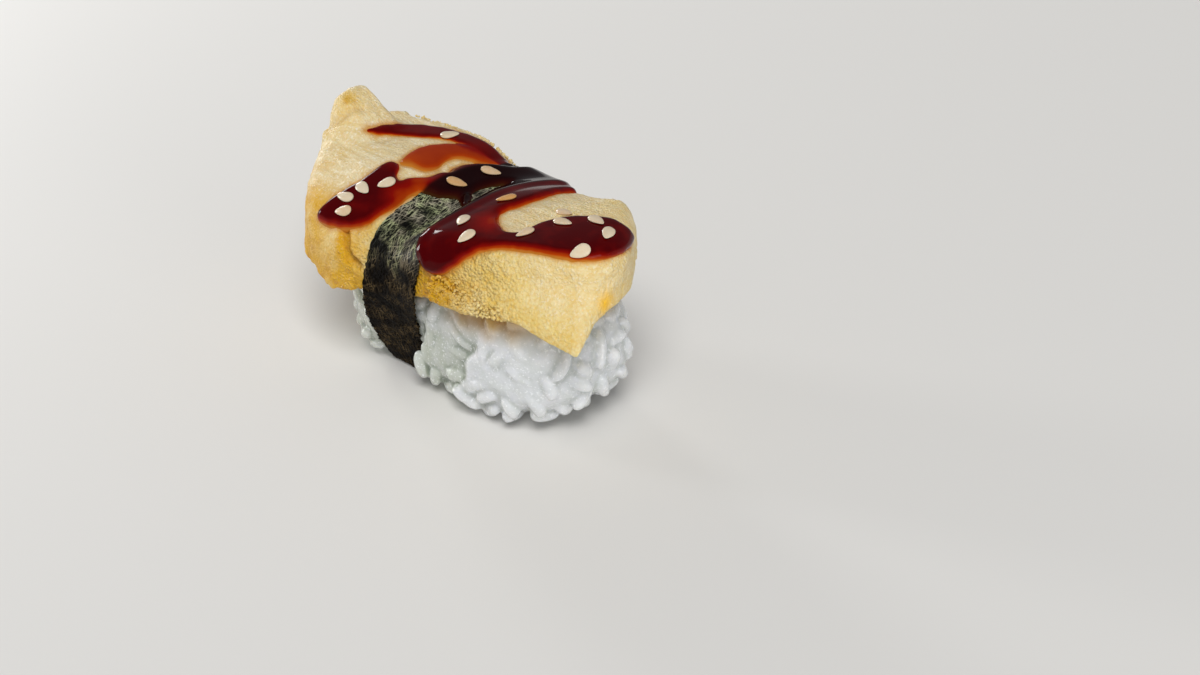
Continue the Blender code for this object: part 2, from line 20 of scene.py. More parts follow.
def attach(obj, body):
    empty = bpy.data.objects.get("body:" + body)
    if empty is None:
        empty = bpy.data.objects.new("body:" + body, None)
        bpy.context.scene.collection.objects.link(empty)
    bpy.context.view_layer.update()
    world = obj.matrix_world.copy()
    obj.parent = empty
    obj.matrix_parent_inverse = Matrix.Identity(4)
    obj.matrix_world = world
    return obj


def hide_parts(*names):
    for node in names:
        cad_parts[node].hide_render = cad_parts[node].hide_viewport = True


bl_info = {
    "name": "Tamago nigiri",
    "version": (1, 0, 0),
    "blender": (4, 5, 0),
    "location": "3D View > Sidebar > Nigiri",
    "description": "Omelette, sauce, sesame, nori and rice of a tamago nigiri",
    "category": "Object",
}

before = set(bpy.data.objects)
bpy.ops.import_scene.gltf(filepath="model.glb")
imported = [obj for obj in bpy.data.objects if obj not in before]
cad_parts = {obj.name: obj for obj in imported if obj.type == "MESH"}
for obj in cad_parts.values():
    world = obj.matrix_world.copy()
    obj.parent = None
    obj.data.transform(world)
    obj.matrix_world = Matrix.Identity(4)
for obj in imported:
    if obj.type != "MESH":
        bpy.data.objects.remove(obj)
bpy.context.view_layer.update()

MM = 0.001
TO_FRAME = np.array((1.8, 0.0, 0.0))

# The slab, measured flat before it is draped.
SLAB_SIZE = np.array((65.5, 33.5, 10.5))
SLAB_TOP_RADIUS = 4.0
SLAB_BOTTOM_RADIUS = 1.4
SLAB_SKEW = 0.38
SLAB_MIDDLE_X = -3.2
SLAB_UNDERSIDE_Z = 23.4
CORNER_ROUNDING = {"near_left": 0.37, "near_right": 0.14, "far_left": 0.95, "far_right": 0.5}
TOP_CORNER_ROUNDING = 0.85

# How the slab hangs. EDGE_REACH is how far out its long sides are bent, as a share of half its
# width.
EDGE_REACH = 1.1
SIDE_REACH = 16.0
NEAR_EDGE_SAG = 1.0
FAR_EDGE_SAG = 1.6
LEFT_LOBE_SAG = 5.2
LEFT_CORNER_CURL = 5.6
RIGHT_TIP_SAG = 4.3
RIGHT_END_RISE = 1.0
RIGHT_SIDE_LEAN = 2.2
BAND_PINCH = 3.2
BAND_PINCH_REACH = 6.5
PINCH_BELOW = 0.35
FAR_PINCH_EASE = 0.35
FAR_LEFT_SAG = 1.9
FAR_RIGHT_SAG = 2.4
LEFT_LOBE_BULGE = 2.0
BAND_WAIST = 0.9
RIGHT_END_NARROWING = 3.0
RIGHT_END_BULGE = 1.3

# The crease down the left lobe, and the fold across its raised corner, as (x, b) lines.
CREASE = [(-15.8, -15.4), (-14.9, -17.1), (-14.1, -18.5), (-13.7, -19.7), (-12.9, -20.9),
          (-11.4, -21.6)]
NOTCH = (-34.4, -2.6)
FOLD = [NOTCH, (-32.9, -2.4), (-31.7, -2.0), (-31.1, -0.9), (-30.8, 0.5), (-30.2, 2.2)]

# The orange spot on the right end of the slab.
SPOT_MIDDLE = (31.9, -3.9, 26.6)
SPOT_REACH = (1.9, 1.7, 1.7)

# The nori band.
BAND_WIDTH = 10.8
BAND_NEAR_SPREAD = 1.9
BAND_HEM_SLANT = 1.0
BAND_FLOOR_WIDTH = 8.6
BAND_TWIST = 0.9
BAND_THICKNESS = 0.4
BAND_OFF_SLAB = 0.2
BAND_TOP_X = -3.0
BAND_FAR_X = -0.5
BAND_NEAR_X = -3.9
BAND_FLOOR_NEAR_X = -10.0
BAND_FLOOR_FAR_X = -5.0
BAND_FLOOR_HALF_WIDTH = 7.4
BAND_CLEAR_OF_FLOOR = 0.35
BAND_LEAVES_SLAB_Z = 19.5
BAND_START_ON_SIDE = 0.6
BAND_FRAY_POWER = 12

# How many places lie along the band's path on each part of it, and how many rounds bring them
# under its middle line.
BAND_SECTION_STEPS, BAND_FALL_STEPS, BAND_FLOOR_STEPS = 26, 64, 40
BAND_FIT_ROUNDS = 9

# The rice pillow.
RICE_HALF_SIZE = np.array((26.2, 13.8, 12.3))
RICE_MIDDLE = np.array((0.1, 0.0, 11.3))
RICE_SQUARENESS = 3.0
RICE_LEFT_SETTLE = 1.6
RICE_RIGHT_LIFT = 1.6
RICE_RECESS = 1.1
RICE_FLOOR_HOLLOW = 1.2
RICE_FREE_REACH = 10.0
RICE_BELOW_SLAB = 0.4
RICE_CORE_CELLS = (60, 30, 24)

# The chances that a grain is tried on the pillow's ends, on its long sides, and on its top or
# underside.
GRAIN_FACE_CHANCES = (0.2, 0.4, 0.4)

# How deep a grain's middle lies below the pillow's surface, and how much further in it lies if
# it is laid last.
GRAIN_DEPTH = (0.7, 1.15)
GRAIN_LATE_DEPTH = 0.3

# How far grains stand out near the floor and the right end, how far loose ones do anywhere, and
# the chance that one is loose, with what is added to it beside the band.
GRAIN_OUT_AT_EDGE = 0.65
GRAIN_OUT_IF_LOOSE = 0.5
LOOSE_CHANCE, LOOSE_CHANCE_IN_GAP = 0.12, 0.4

# How much grains tip up from the surface, and what is added to it at the edges.
GRAIN_TILT, GRAIN_TILT_AT_EDGE = 0.1, 0.12

# Where places along a grain are sampled, as shares of half its length.
GRAIN_SAMPLES = (-0.75, -0.4, 0.0, 0.4, 0.75)

# How deep a furrow between grains is where its painted shade starts to show and where it shows in
# full, and over how many rounds its depth is evened out.
FURROW_SHADE_DEPTHS = (0.002, 0.018)
FURROW_SHADE_ROUNDS = 3

# Steps of a pool's smooth outline between two of its points.
OUTLINE_STEPS = 6

# Pools of sauce seen from above, as (x, b): b is y, run on down the near side.
STREAK = [(-27.4, -0.4), (-27.1, 2.0), (-26.6, 5.2), (-25.4, 8.6), (-22.4, 11.2), (-19.2, 12.6),
          (-15.0, 13.8), (-11.2, 14.3), (-7.7, 13.6), (-4.4, 11.8), (-5.7, 10.4), (-8.5, 10.3),
          (-12.4, 9.8), (-15.5, 9.1), (-18.4, 8.0), (-21.2, 5.4), (-24.5, 3.0), (-26.0, 1.0)]
FILM = [(-16.1, -2.9), (-17.1, -1.2), (-17.6, 0.9), (-17.9, 3.3), (-17.2, 5.8), (-15.6, 8.4),
        (-13.0, 10.6), (-8.7, 12.5), (-5.4, 11.2), (-7.3, 9.4), (-9.2, 7.6), (-11.0, 6.0),
        (-11.8, 4.4), (-11.7, 2.6), (-11.2, 0.8), (-11.4, -1.1), (-12.3, -1.9), (-14.0, -2.2)]
FILM_DEEP = [(-16.4, 6.9), (-15.6, 8.4), (-13.0, 10.6), (-8.7, 12.5), (-5.4, 11.2), (-7.3, 9.4),
             (-9.2, 7.6), (-11.6, 6.6), (-14.2, 6.4)]
LEFT_LOBE = [(-22.2, -16.8), (-22.2, -15.4), (-21.5, -13.9), (-20.2, -11.4), (-18.6, -8.2),
             (-18.3, -5.1), (-17.9, -3.6), (-16.7, -3.0), (-15.3, -3.7), (-14.2, -5.4),
             (-12.8, -5.7), (-12.0, -4.3), (-10.1, -2.0), (-7.0, -0.5), (-6.0, -3.5), (-9.0, -5.8),
             (-9.5, -9.1), (-10.0, -11.2), (-10.8, -13.4), (-11.8, -15.1), (-13.3, -16.1),
             (-15.5, -16.7), (-18.6, -17.1), (-20.9, -17.3)]
OVER_BAND = [(-10.1, -2.0), (-10.2, 0.1), (-9.6, 1.6), (-9.8, 3.2), (-9.8, 5.4), (-8.6, 8.1),
             (-6.2, 10.7), (-4.6, 13.0), (-3.4, 15.4), (3.4, 15.8), (8.0, 13.6), (7.6, 10.6),
             (3.7, 9.2), (-1.1, 7.7), (-3.0, 6.0), (-3.9, 3.3), (-3.6, -0.6), (-4.6, -2.0),
             (-5.6, -3.1), (-7.2, -3.9), (-9.3, -4.7)]
RIGHT_LOBE = [(5.5, -21.6), (4.2, -20.7), (3.1, -19.0), (2.1, -17.0), (1.5, -15.2), (1.2, -13.0),
              (1.0, -9.9), (0.5, -5.1), (0.0, -0.2), (-0.7, 3.9), (-0.9, 7.6), (0.2, 10.5),
              (3.8, 13.6), (7.6, 12.0), (8.4, 8.5), (9.0, 4.6), (9.0, 1.0), (8.3, -2.8),
              (8.8, -4.8), (11.0, -6.6), (13.4, -7.7), (15.4, -7.2), (16.0, -5.7), (16.2, -2.7),
              (17.8, 0.8), (20.8, 3.7), (23.0, 5.0), (25.4, 5.7), (27.6, 6.4), (29.4, 6.7),
              (30.8, 5.2), (31.7, 3.2), (32.0, 0.6), (31.8, -1.6), (31.3, -3.2), (30.2, -5.0),
              (28.4, -6.7), (26.4, -8.0), (23.6, -9.4), (20.7, -10.4), (17.8, -11.6),
              (15.0, -13.0), (13.2, -14.7), (12.0, -16.3), (10.5, -18.6), (8.8, -20.5),
              (7.2, -21.5)]
DRIP = [(-3.9, -1.0), (-2.9, 0.4), (-1.4, -1.2), (-0.1, -3.2), (-2.0, -2.6)]

# How far the sauce's underside lies in the slab, how far its sheet reaches down over the slab's
# ends, and how far above the slab's underside it stops on the long sides.
SAUCE_ROOT = 0.7
SAUCE_OVER_ENDS = 4.5
SAUCE_ABOVE_HEM = 1.0

# How far the film's thin edge runs on past the outlines of its pools, and a distance outside
# them where nothing is wet.
SAUCE_MARGIN = 0.6
DRY = -9.0

# How each group of pools lies: its outlines, its share of the full depth, how dark it is, and
# how far it fades towards the near right, as a share of the fade.
POOL_GROUPS = (
    ((LEFT_LOBE, OVER_BAND, RIGHT_LOBE, DRIP), 1.0, 1.0, 1.0),
    ((STREAK,), 0.45, 0.85, 0.4),
    ((FILM,), 0.35, 0.3, 1.2),
    ((FILM_DEEP,), 0.35, 0.8, 3.0),
)

# Where the sauce runs thin inside its pools, as (x, b, radius, share of its darkness lost).
THIN_SPOTS = [(-10.2, -3.8, 2.6, 0.65), (-10.4, -8.2, 2.4, 0.6), (10.2, -7.0, 3.0, 0.6),
              (-16.0, -1.2, 2.2, 0.5)]

# Where loose crumbs lie along the slab: the ends of each patch, and its likeliest place.
FAR_CRUMBS = (-27.0, 4.0, -16.0)
NEAR_CRUMBS = ((2.0, 19.0, 4.0), (2.0, 12.0, 4.0))
LOBE_CRUMBS = (-15.0, -9.0)

# How far in from the far edge the crumbs lie, how high over the near hem, which way they stand
# off the slab, how far, and how large they are.
FAR_CRUMBS_FROM_EDGE = (0.2, 1.8)
NEAR_CRUMBS_HEIGHT = (0.0, 5.5, 0.1)
FAR_CRUMBS_OUTWARD, NEAR_CRUMBS_OUTWARD = (0.0, 0.5, 0.85), (0.0, -0.95, -0.3)
CRUMB_LIFT = 0.25
CRUMB_HALF_SIZE = (0.38, 0.32, 0.3)
CRUMB_STRETCH = (0.45, 1.0)

# Sesame seeds as (x, y, heading of the tip in degrees, how toasted).
SEEDS = [
    (-17.6, 9.7, 60, 0.1), (-16.3, -10.7, -15, 0.0), (-18.1, -13.0, -171, 0.1),
    (-13.4, -8.2, -117, 0.1), (-16.5, -14.9, -150, 0.35), (-5.8, 0.0, 33, 0.8),
    (-5.2, 7.0, 37, 0.5), (6.1, -0.4, -121, 1.0), (5.9, -9.7, -64, 0.0), (10.2, -13.0, -99, 0.1),
    (17.6, -7.5, -98, 0.3), (20.0, -1.6, 11, 0.2), (16.2, 2.5, 3, 0.35), (23.6, 2.2, -8, 0.15),
    (27.6, 0.6, -60, 0.05), (27.9, -5.8, -98, 0.05),
]


# ---------------------------------------------------------------- numbers and noise


def smooth_step(start, end, value):
    """0 at start, 1 at end, with a soft start and end; start may be the larger one."""
    share = np.clip((value - start) / (end - start), 0.0, 1.0)
    return share * share * (3.0 - 2.0 * share)


def bell(middle, width, value):
    """1 at the middle, falling softly to almost nothing two widths away."""
    return np.exp(-(((value - middle) / width) ** 2))


def smooth_noise(points, size, octaves=1):
    """Smooth noise of about -1 to 1 at each point, its features about `size` apart."""
    total = np.zeros(len(points))
    for octave in range(octaves):
        scaled = np.asarray(points) * (2.0**octave / size)
        total += np.array([noise.noise(Vector(p)) for p in scaled]) / 2.0**octave
    return total


def lumps(points, size):
    """Rounded lumps side by side, from 0 in the clefts to 1 at their middles."""
    scaled = np.asarray(points) / size
    near = np.array([noise.voronoi(Vector(p))[0][0] for p in scaled])
    return np.clip(1.0 - near * 1.25, 0.0, 1.0)


def smooth_union(fields, softness):
    """The largest of several distance fields, rounded where two of them meet."""
    joined = fields[0]
    for field in fields[1:]:
        blend = np.maximum(softness - np.abs(joined - field), 0.0) / softness
        joined = np.maximum(joined, field) + blend * blend * softness / 4.0
    return joined


def line_distance(line, x, b):
    """Distance from each (x, b) to an open line."""
    knots = np.array(line, float)
    spots = np.stack([x, b], axis=-1)
    nearest = np.full(len(spots), np.inf)
    for start, end in zip(knots, knots[1:]):
        run = end - start
        share = np.clip(((spots - start) @ run) / (run @ run), 0.0, 1.0)
        nearest = np.minimum(nearest, np.linalg.norm(spots - start - share[:, None] * run, axis=1))
    return nearest


def closed_curve(points, steps):
    """A smooth closed curve through the points: a Catmull-Rom spline, in steps between them."""
    knots = np.array(points, float)
    before, after, later = (np.roll(knots, shift, axis=0) for shift in (1, -1, -2))
    curve = []
    for t in np.arange(steps) / steps:
        bend = 2 * before - 5 * knots + 4 * after - later
        twist = 3 * knots - before - 3 * after + later
        curve.append(0.5 * (2 * knots + t * (after - before) + t * t * bend + t**3 * twist))
    return np.stack(curve, axis=1).reshape(-1, 2)


def depth_inside(outline, x, b):
    """Distance to a closed outline: positive inside it, negative outside."""
    curve = closed_curve(outline, OUTLINE_STEPS)
    nearest = np.full(np.shape(x), np.inf)
    crossings = np.zeros(np.shape(x), int)
    for (x0, b0), (x1, b1) in zip(curve, np.roll(curve, -1, axis=0)):
        dx, db = x1 - x0, b1 - b0
        share = np.clip(((x - x0) * dx + (b - b0) * db) / (dx * dx + db * db), 0.0, 1.0)
        nearest = np.minimum(nearest, np.hypot(x - x0 - share * dx, b - b0 - share * db))
        if b0 != b1:
            crossings += ((b0 > b) != (b1 > b)) & (x < x0 + (b - b0) / db * dx)
    return np.where(crossings % 2 == 1, nearest, -nearest)


# ---------------------------------------------------------------- the slab's drape


def corner_rounding(along, across, height):
    """How much a corner is rounded, at shares of the slab's length, width and thickness."""
    right = smooth_step(-0.6, 0.6, along)
    far = smooth_step(-0.6, 0.6, across)
    near_right = CORNER_ROUNDING["near_right"]
    near_right = near_right + (TOP_CORNER_ROUNDING - near_right) * smooth_step(0.0, 0.6, height)
    near_side = CORNER_ROUNDING["near_left"] * (1 - right) + near_right * right
    far_side = CORNER_ROUNDING["far_left"] * (1 - right) + CORNER_ROUNDING["far_right"] * right
    return near_side * (1 - far) + far_side * far


def band_middle_x(y):
    """The band's middle on the slab: it swings left to the near side and right to the far one."""
    near = (BAND_NEAR_X - BAND_TOP_X) * smooth_step(-6.0, -17.0, y)
    return BAND_TOP_X + near + (BAND_FAR_X - BAND_TOP_X) * smooth_step(2.0, 17.0, y)


def band_half_width(side, b):
    """Half the band's width to its left (side < 0) or right, at b: y run on down the near side."""
    right = BAND_NEAR_SPREAD * bell(-20.0, 4.0, b)
    left = BAND_HEM_SLANT * smooth_step(-19.0, -25.0, b)
    return BAND_WIDTH / 2 + np.where(side > 0, right, left)


def hang(x, y, height_share=0.0):
    """Height of the draped slab over a flat one, at a share of the slab's thickness."""
    near, far = (np.clip(side * y / SIDE_REACH, 0.0, 1.25) ** 2 for side in (-1, 1))
    height = -NEAR_EDGE_SAG * near - FAR_EDGE_SAG * far
    height = height - LEFT_LOBE_SAG * near * smooth_step(8.0, -20.0, x)
    curl = smooth_step(-24.0, -35.5, x) * smooth_step(-4.5, 1.0, y) * smooth_step(8.8, 5.8, y)
    height = height + LEFT_CORNER_CURL * curl
    height = height - (FAR_LEFT_SAG * bell(-7.5, 4.5, x) + FAR_RIGHT_SAG * bell(8.0, 8.0, x)) * far
    height = height - RIGHT_TIP_SAG * near * smooth_step(21.0, 34.0, x)
    height = height + RIGHT_END_RISE * smooth_step(8.0, 24.0, x)
    squeeze = PINCH_BELOW + (1 - PINCH_BELOW) * height_share
    squeeze = squeeze * (1 - FAR_PINCH_EASE * smooth_step(4.0, 15.0, y))
    return height - BAND_PINCH * squeeze * bell(band_middle_x(y), BAND_PINCH_REACH, x)


def side_shift(x, side):
    """How far the long sides stand out or in; side runs from -1 (near) to 1 (far)."""
    near = LEFT_LOBE_BULGE * bell(-18.0, 6.0, x) - BAND_WAIST * bell(-5.0, 5.0, x)
    near = near - RIGHT_END_NARROWING * smooth_step(10.0, 34.0, x)
    far = 0.8 * smooth_step(0.0, 20.0, x) - 0.7 * BAND_WAIST * bell(-4.0, 5.0, x)
    return np.where(side < 0, -near, far) * np.abs(side) ** 2


def drape(flat):
    """Points of the flat slab (along, across, above its underside), hung over the rice."""
    u, v, w = np.moveaxis(flat, -1, 0)
    length, width, thickness = SLAB_SIZE
    along, across, share = 2 * u / length, 2 * v / width, w / thickness
    rounding = corner_rounding(along, across, share)
    u_round = u * np.sqrt(1 - rounding * np.clip(across, -1, 1) ** 2 / 2)
    v_round = v * np.sqrt(1 - rounding * np.clip(along, -1, 1) ** 2 / 2)
    x = u_round - SLAB_SKEW * v_round + SLAB_MIDDLE_X
    bulge = RIGHT_END_BULGE * (1.25 - 0.25 * share) * bell(2.0, 6.5, v_round)
    x = x + bulge * smooth_step(0.75, 1.0, along)
    y = v_round + side_shift(x, np.clip(across, -EDGE_REACH, EDGE_REACH))
    lean = np.clip(-across, 0, EDGE_REACH) ** 2 * share
    y = y + RIGHT_SIDE_LEAN * smooth_step(0.0, 22.0, x) * lean
    return np.stack([x, y, SLAB_UNDERSIDE_Z + w + hang(x, y, share)], axis=-1)


def slab_surface(flat):
    """Points of the sharp-edged flat slab, with its edges rounded, then draped."""
    half = SLAB_SIZE / 2
    middle = flat - (0.0, 0.0, half[2])
    reach = SLAB_TOP_RADIUS - SLAB_BOTTOM_RADIUS
    radius = SLAB_BOTTOM_RADIUS + reach * smooth_step(-1.0, 0.6, middle[..., 2:] / half[2])
    core = np.clip(middle, radius - half, half - radius)
    out = middle - core
    out = out / np.maximum(np.linalg.norm(out, axis=-1, keepdims=True), 1e-9)
    return drape(core + out * radius + (0.0, 0.0, half[2]))


def below_top(points):
    """How far each point lies below the slab's top surface over it."""
    x, y, z = np.moveaxis(points, -1, 0)
    return np.maximum(0.0, SLAB_UNDERSIDE_Z + SLAB_SIZE[2] + hang(x, y, 1.0) - z)


def unrolled(points, flat):
    """x and y of each point, with the slab's sides and ends folded out flat.

    `flat` is where the points lie on the flat slab.
    """
    past = np.maximum(np.abs(flat[..., :2]) - SLAB_SIZE[:2] / 2 + SLAB_TOP_RADIUS, 0.0)
    share = past / np.maximum(past.sum(-1, keepdims=True), 1e-6)
    folded = points[..., :2] + np.sign(flat[..., :2]) * share * below_top(points)[..., None]
    return folded[..., 0], folded[..., 1]


def on_band(x, y, b, start, end):
    """A soft mask of the band's strip on the slab; start and end are offsets from its edge."""
    offset = x - band_middle_x(y)
    return smooth_step(end, start, np.abs(offset) - band_half_width(offset, b))


# ---------------------------------------------------------------- meshes


def box_shell(cells):
    """Points (0 to 1 along each side) and quads of a box whose faces are grids."""
    cells = np.array(cells)
    corners = []
    for axis in range(3):
        a, b = (axis + 1) % 3, (axis + 2) % 3
        i, j = np.meshgrid(np.arange(cells[a]), np.arange(cells[b]), indexing="ij")
        for end in (0, 1):
            steps = ((0, 0), (1, 0), (1, 1), (0, 1)) if end else ((0, 0), (0, 1), (1, 1), (1, 0))
            quads = np.zeros((i.size, 4, 3), int)
            for corner, (di, dj) in enumerate(steps):
                quads[:, corner, axis] = end * cells[axis]
                quads[:, corner, a] = i.ravel() + di
                quads[:, corner, b] = j.ravel() + dj
            corners.append(quads)
    points, index = np.unique(np.concatenate(corners).reshape(-1, 3), axis=0, return_inverse=True)
    return points / cells, index.reshape(-1, 4)


def grid_quads(rows, columns, closed=False):
    """Quads of a grid of points stored row by row; closed joins the last column to the first."""
    i, j = np.meshgrid(np.arange(rows - 1), np.arange(columns - (not closed)), indexing="ij")
    i, j = i.ravel(), j.ravel()
    beside = (j + 1) % columns
    corners = [i * columns + j, (i + 1) * columns + j, (i + 1) * columns + beside]
    return np.stack([*corners, i * columns + beside], axis=1)


def point_normals(points, quads):
    """Unit normals at the points, from the quads round them."""
    a, b, c, d = (points[quads[:, k]] for k in range(4))
    across = np.cross(c - a, d - b)
    total = np.zeros_like(points)
    for k in range(4):
        np.add.at(total, quads[:, k], across)
    return total / np.maximum(np.linalg.norm(total, axis=1, keepdims=True), 1e-12)


def facing_up(quads, normals, top):
    """The quads and normals, turned over if the normal at the point `top` looks down."""
    return (quads[:, ::-1], -normals) if normals[top, 2] < 0 else (quads, normals)


def closed_sheet(upper, lower, quads, values):
    """Points, quads and named values of a closed shell between two sheets that share quads."""
    used, index = np.unique(quads, return_inverse=True)
    quads = index.reshape(-1, 4)
    count = len(used)
    sides = np.concatenate([quads[:, [k, (k + 1) % 4]] for k in range(4)])
    ordered = np.sort(sides, axis=1)
    _, first, times = np.unique(ordered, axis=0, return_index=True, return_counts=True)
    rim = sides[first[times == 1]]
    walls = np.stack([rim[:, 1], rim[:, 0], rim[:, 0] + count, rim[:, 1] + count], axis=1)
    points = np.concatenate([upper[used], lower[used]])
    faces = np.concatenate([quads, quads[:, ::-1] + count, walls])
    return points, faces, {key: np.concatenate([v[used], v[used]]) for key, v in values.items()}


def set_values(data, values):
    """Gives the mesh its named values, one number or vector for each point."""
    for key, numbers in values.items():
        numbers = np.asarray(numbers, np.float32)
        kind, field = ("FLOAT_VECTOR", "vector") if numbers.ndim == 2 else ("FLOAT", "value")
        data.attributes.new(key, kind, "POINT").data.foreach_set(field, numbers.ravel())


def new_mesh(name, points, faces, values):
    """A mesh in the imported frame, from points in millimetres, with the points' named values."""
    data = bpy.data.meshes.new(name)
    places = (np.asarray(points) + TO_FRAME) * MM
    data.from_pydata(places.tolist(), [], np.asarray(faces).tolist())
    set_values(data, values)
    data.shade_smooth()
    data.update()
    return data


def read(items, field, width, kind=np.float32):
    """One field of all the items of a mesh, in rows of `width` numbers."""
    found = np.empty(len(items) * width, kind)
    items.foreach_get(field, found)
    return found.reshape(-1, width)


def mesh_points(data):
    """The mesh's points in millimetres, in the slab's own frame."""
    return read(data.vertices, "co", 3).astype(float) / MM - TO_FRAME


def add_object(name, data):
    """A new object in the scene that holds the data."""
    made = bpy.data.objects.new(name, data)
    bpy.context.scene.collection.objects.link(made)
    return made


def add_piece(name, data, finish, *nodes):
    """Adds the piece to the scene, riding on the only body and standing for the CAD nodes."""
    piece = add_object(name, data)
    if finish:
        data.materials.clear()
        data.materials.append(finish)
    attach(piece, "root")
    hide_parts(*nodes)


def plain_mesh(source, name):
    """The mesh that the object's modifiers make; the object itself is removed."""
    graph = bpy.context.evaluated_depsgraph_get()
    data = bpy.data.meshes.new_from_object(source.evaluated_get(graph))
    bpy.data.objects.remove(source)
    data.name = name
    return data


# ---------------------------------------------------------------- node trees


class Value:
    """A node's output. Arithmetic on it adds Math nodes to its tree."""

    def __init__(self, wiring, socket):
        self.wiring = wiring
        self.socket = socket

    def _math(self, operation, *terms):
        return self.wiring.node("ShaderNodeMath", {"operation": operation}, dict(enumerate(terms)))

    def __add__(self, other):
        return self._math("ADD", self, other)

    def __sub__(self, other):
        return self._math("SUBTRACT", self, other)

    def __rsub__(self, other):
        return self._math("SUBTRACT", other, self)

    def __mul__(self, other):
        return self._math("MULTIPLY", self, other)

    __radd__, __rmul__ = __add__, __mul__

    def clamped(self):
        """Held between 0 and 1."""
        return self.wiring.node("ShaderNodeClamp", {}, {"Value": self})


class Wiring:
    """Adds nodes to one tree."""

    def __init__(self, tree):
        self.tree = tree

    def node(self, kind, settings=None, inputs=None, output=0):
        """Adds a node: its settings first, then the values or links of its sockets.

        The output is a number where several outputs of the node have the same name.
        """
        made = self.tree.nodes.new(kind)
        for name, setting in (settings or {}).items():
            if name == "stops":
                self._set_stops(made.color_ramp, setting)
            else:
                setattr(made, name, setting)
        for name, given in (inputs or {}).items():
            if isinstance(given, Value):
                self.tree.links.new(given.socket, made.inputs[name])
            else:
                made.inputs[name].default_value = given
        return Value(self, made.outputs[output]) if made.outputs else None

    def vector(self, operation, first, second=None, **named):
        """Adds a Vector Math node."""
        inputs = {0: first, **named}
        if second is not None:
            inputs[1] = second
        return self.node("ShaderNodeVectorMath", {"operation": operation}, inputs)

    @staticmethod
    def _set_stops(ramp, stops):
        while len(ramp.elements) < len(stops):
            ramp.elements.new(1.0)
        for element, (position, colour) in zip(ramp.elements, stops):
            element.position = position
            element.color = opaque(colour)


# Sockets of the colour mix node, which have the same names for every kind of mix.
MIX_FACTOR, MIX_FIRST, MIX_SECOND, MIX_RESULT = 0, 6, 7, 2


class Finish(Wiring):
    """One material: its nodes, and the surface that they end in."""

    def __init__(self, name):
        self.material = bpy.data.materials.new(name)
        self.material.use_nodes = True
        super().__init__(self.material.node_tree)
        self.tree.nodes.clear()
        spot = self.node("ShaderNodeTexCoord", output="Object")
        self.place = self.vector("SCALE", spot, Scale=1 / MM)

    def attribute(self, name, output="Fac"):
        """The mesh's value of that name; its output is "Vector" where the value is one."""
        return self.node("ShaderNodeAttribute", {"attribute_name": name}, output=output)

    def mix(self, factor, first, second):
        """The first colour at factor 0, the second at 1."""
        inputs = {MIX_FACTOR: factor}
        for socket, colour in ((MIX_FIRST, first), (MIX_SECOND, second)):
            inputs[socket] = colour if isinstance(colour, Value) else opaque(colour)
        return self.node("ShaderNodeMix", {"data_type": "RGBA"}, inputs, MIX_RESULT)

    def coats(self, base, *coats):
        """The base colour below coats of colour, each given as (how much it shows, colour)."""
        for share, colour in coats:
            base = self.mix(share.clamped(), base, colour)
        return base

    def noise(self, size, detail=2.0, stretch=(1.0, 1.0, 1.0), twist=0.0, place=None):
        """Noise from 0 to 1 whose features are about `size` millimetres apart."""
        place = self.place if place is None else place
        at = self.vector("MULTIPLY", place, tuple(1.0 / (size * s) for s in stretch))
        inputs = {"Vector": at, "Scale": 1.0, "Detail": detail, "Distortion": twist}
        return self.node("ShaderNodeTexNoise", {}, inputs)

    def cells(self, size):
        """Distance to the nearest of scattered points about `size` millimetres apart."""
        at = self.vector("SCALE", self.place, Scale=1.0 / size)
        return self.node("ShaderNodeTexVoronoi", {}, {"Vector": at, "Scale": 1.0})

    def ramp(self, value, *stops):
        """A colour that runs through the stops, given as (position, colour)."""
        return self.node("ShaderNodeValToRGB", {"stops": stops}, {"Fac": value})

    def rise(self, value, start, end):
        """0 where the value is up to start, and 1 from end on."""
        return self.ramp(value, (start, (0, 0, 0)), (end, (1, 1, 1)))

    def bump(self, height, depth, strength=1.0):
        """A normal from a height of 0 to 1 that stands for `depth` millimetres."""
        inputs = {"Height": height, "Distance": depth * MM, "Strength": strength}
        return self.node("ShaderNodeBump", {}, inputs)

    def surface(self, **sockets):
        """Ends the material in a Principled surface; names use _ for a space."""
        inputs = {name.replace("_", " "): given for name, given in sockets.items()}
        shader = self.node("ShaderNodeBsdfPrincipled", {}, inputs)
        self.node("ShaderNodeOutputMaterial", {}, {"Surface": shader})
        return self.material


def opaque(colour):
    """A colour with full alpha."""
    return (*colour[:3], 1.0)


def paint(text):
    """A colour in linear light from its six-digit hex code."""
    shares = [int(text[k : k + 2], 16) / 255 for k in (0, 2, 4)]
    return tuple(s / 12.92 if s <= 0.04045 else ((s + 0.055) / 1.055) ** 2.4 for s in shares)


# The bead nodes' inputs.
BEAD_INPUTS = {
    "Points": "Geometry", "Half Length": "Float", "Half Width": "Float", "Half Height": "Float",
    "Taper": "Float", "Plumpness": "Float", "Bend": "Float", "Unevenness": "Float",
    "Segments": "Int", "Rings": "Int", "Size Spread": "Float", "Seed": "Int",
    "Material": "Material",
}
BEAD_DENTS_PER_MM = 0.7
# Sockets of the random value node that hold the range and the result of a plain number.
RANDOM_LEAST, RANDOM_MOST, RANDOM_RESULT = 2, 3, 1


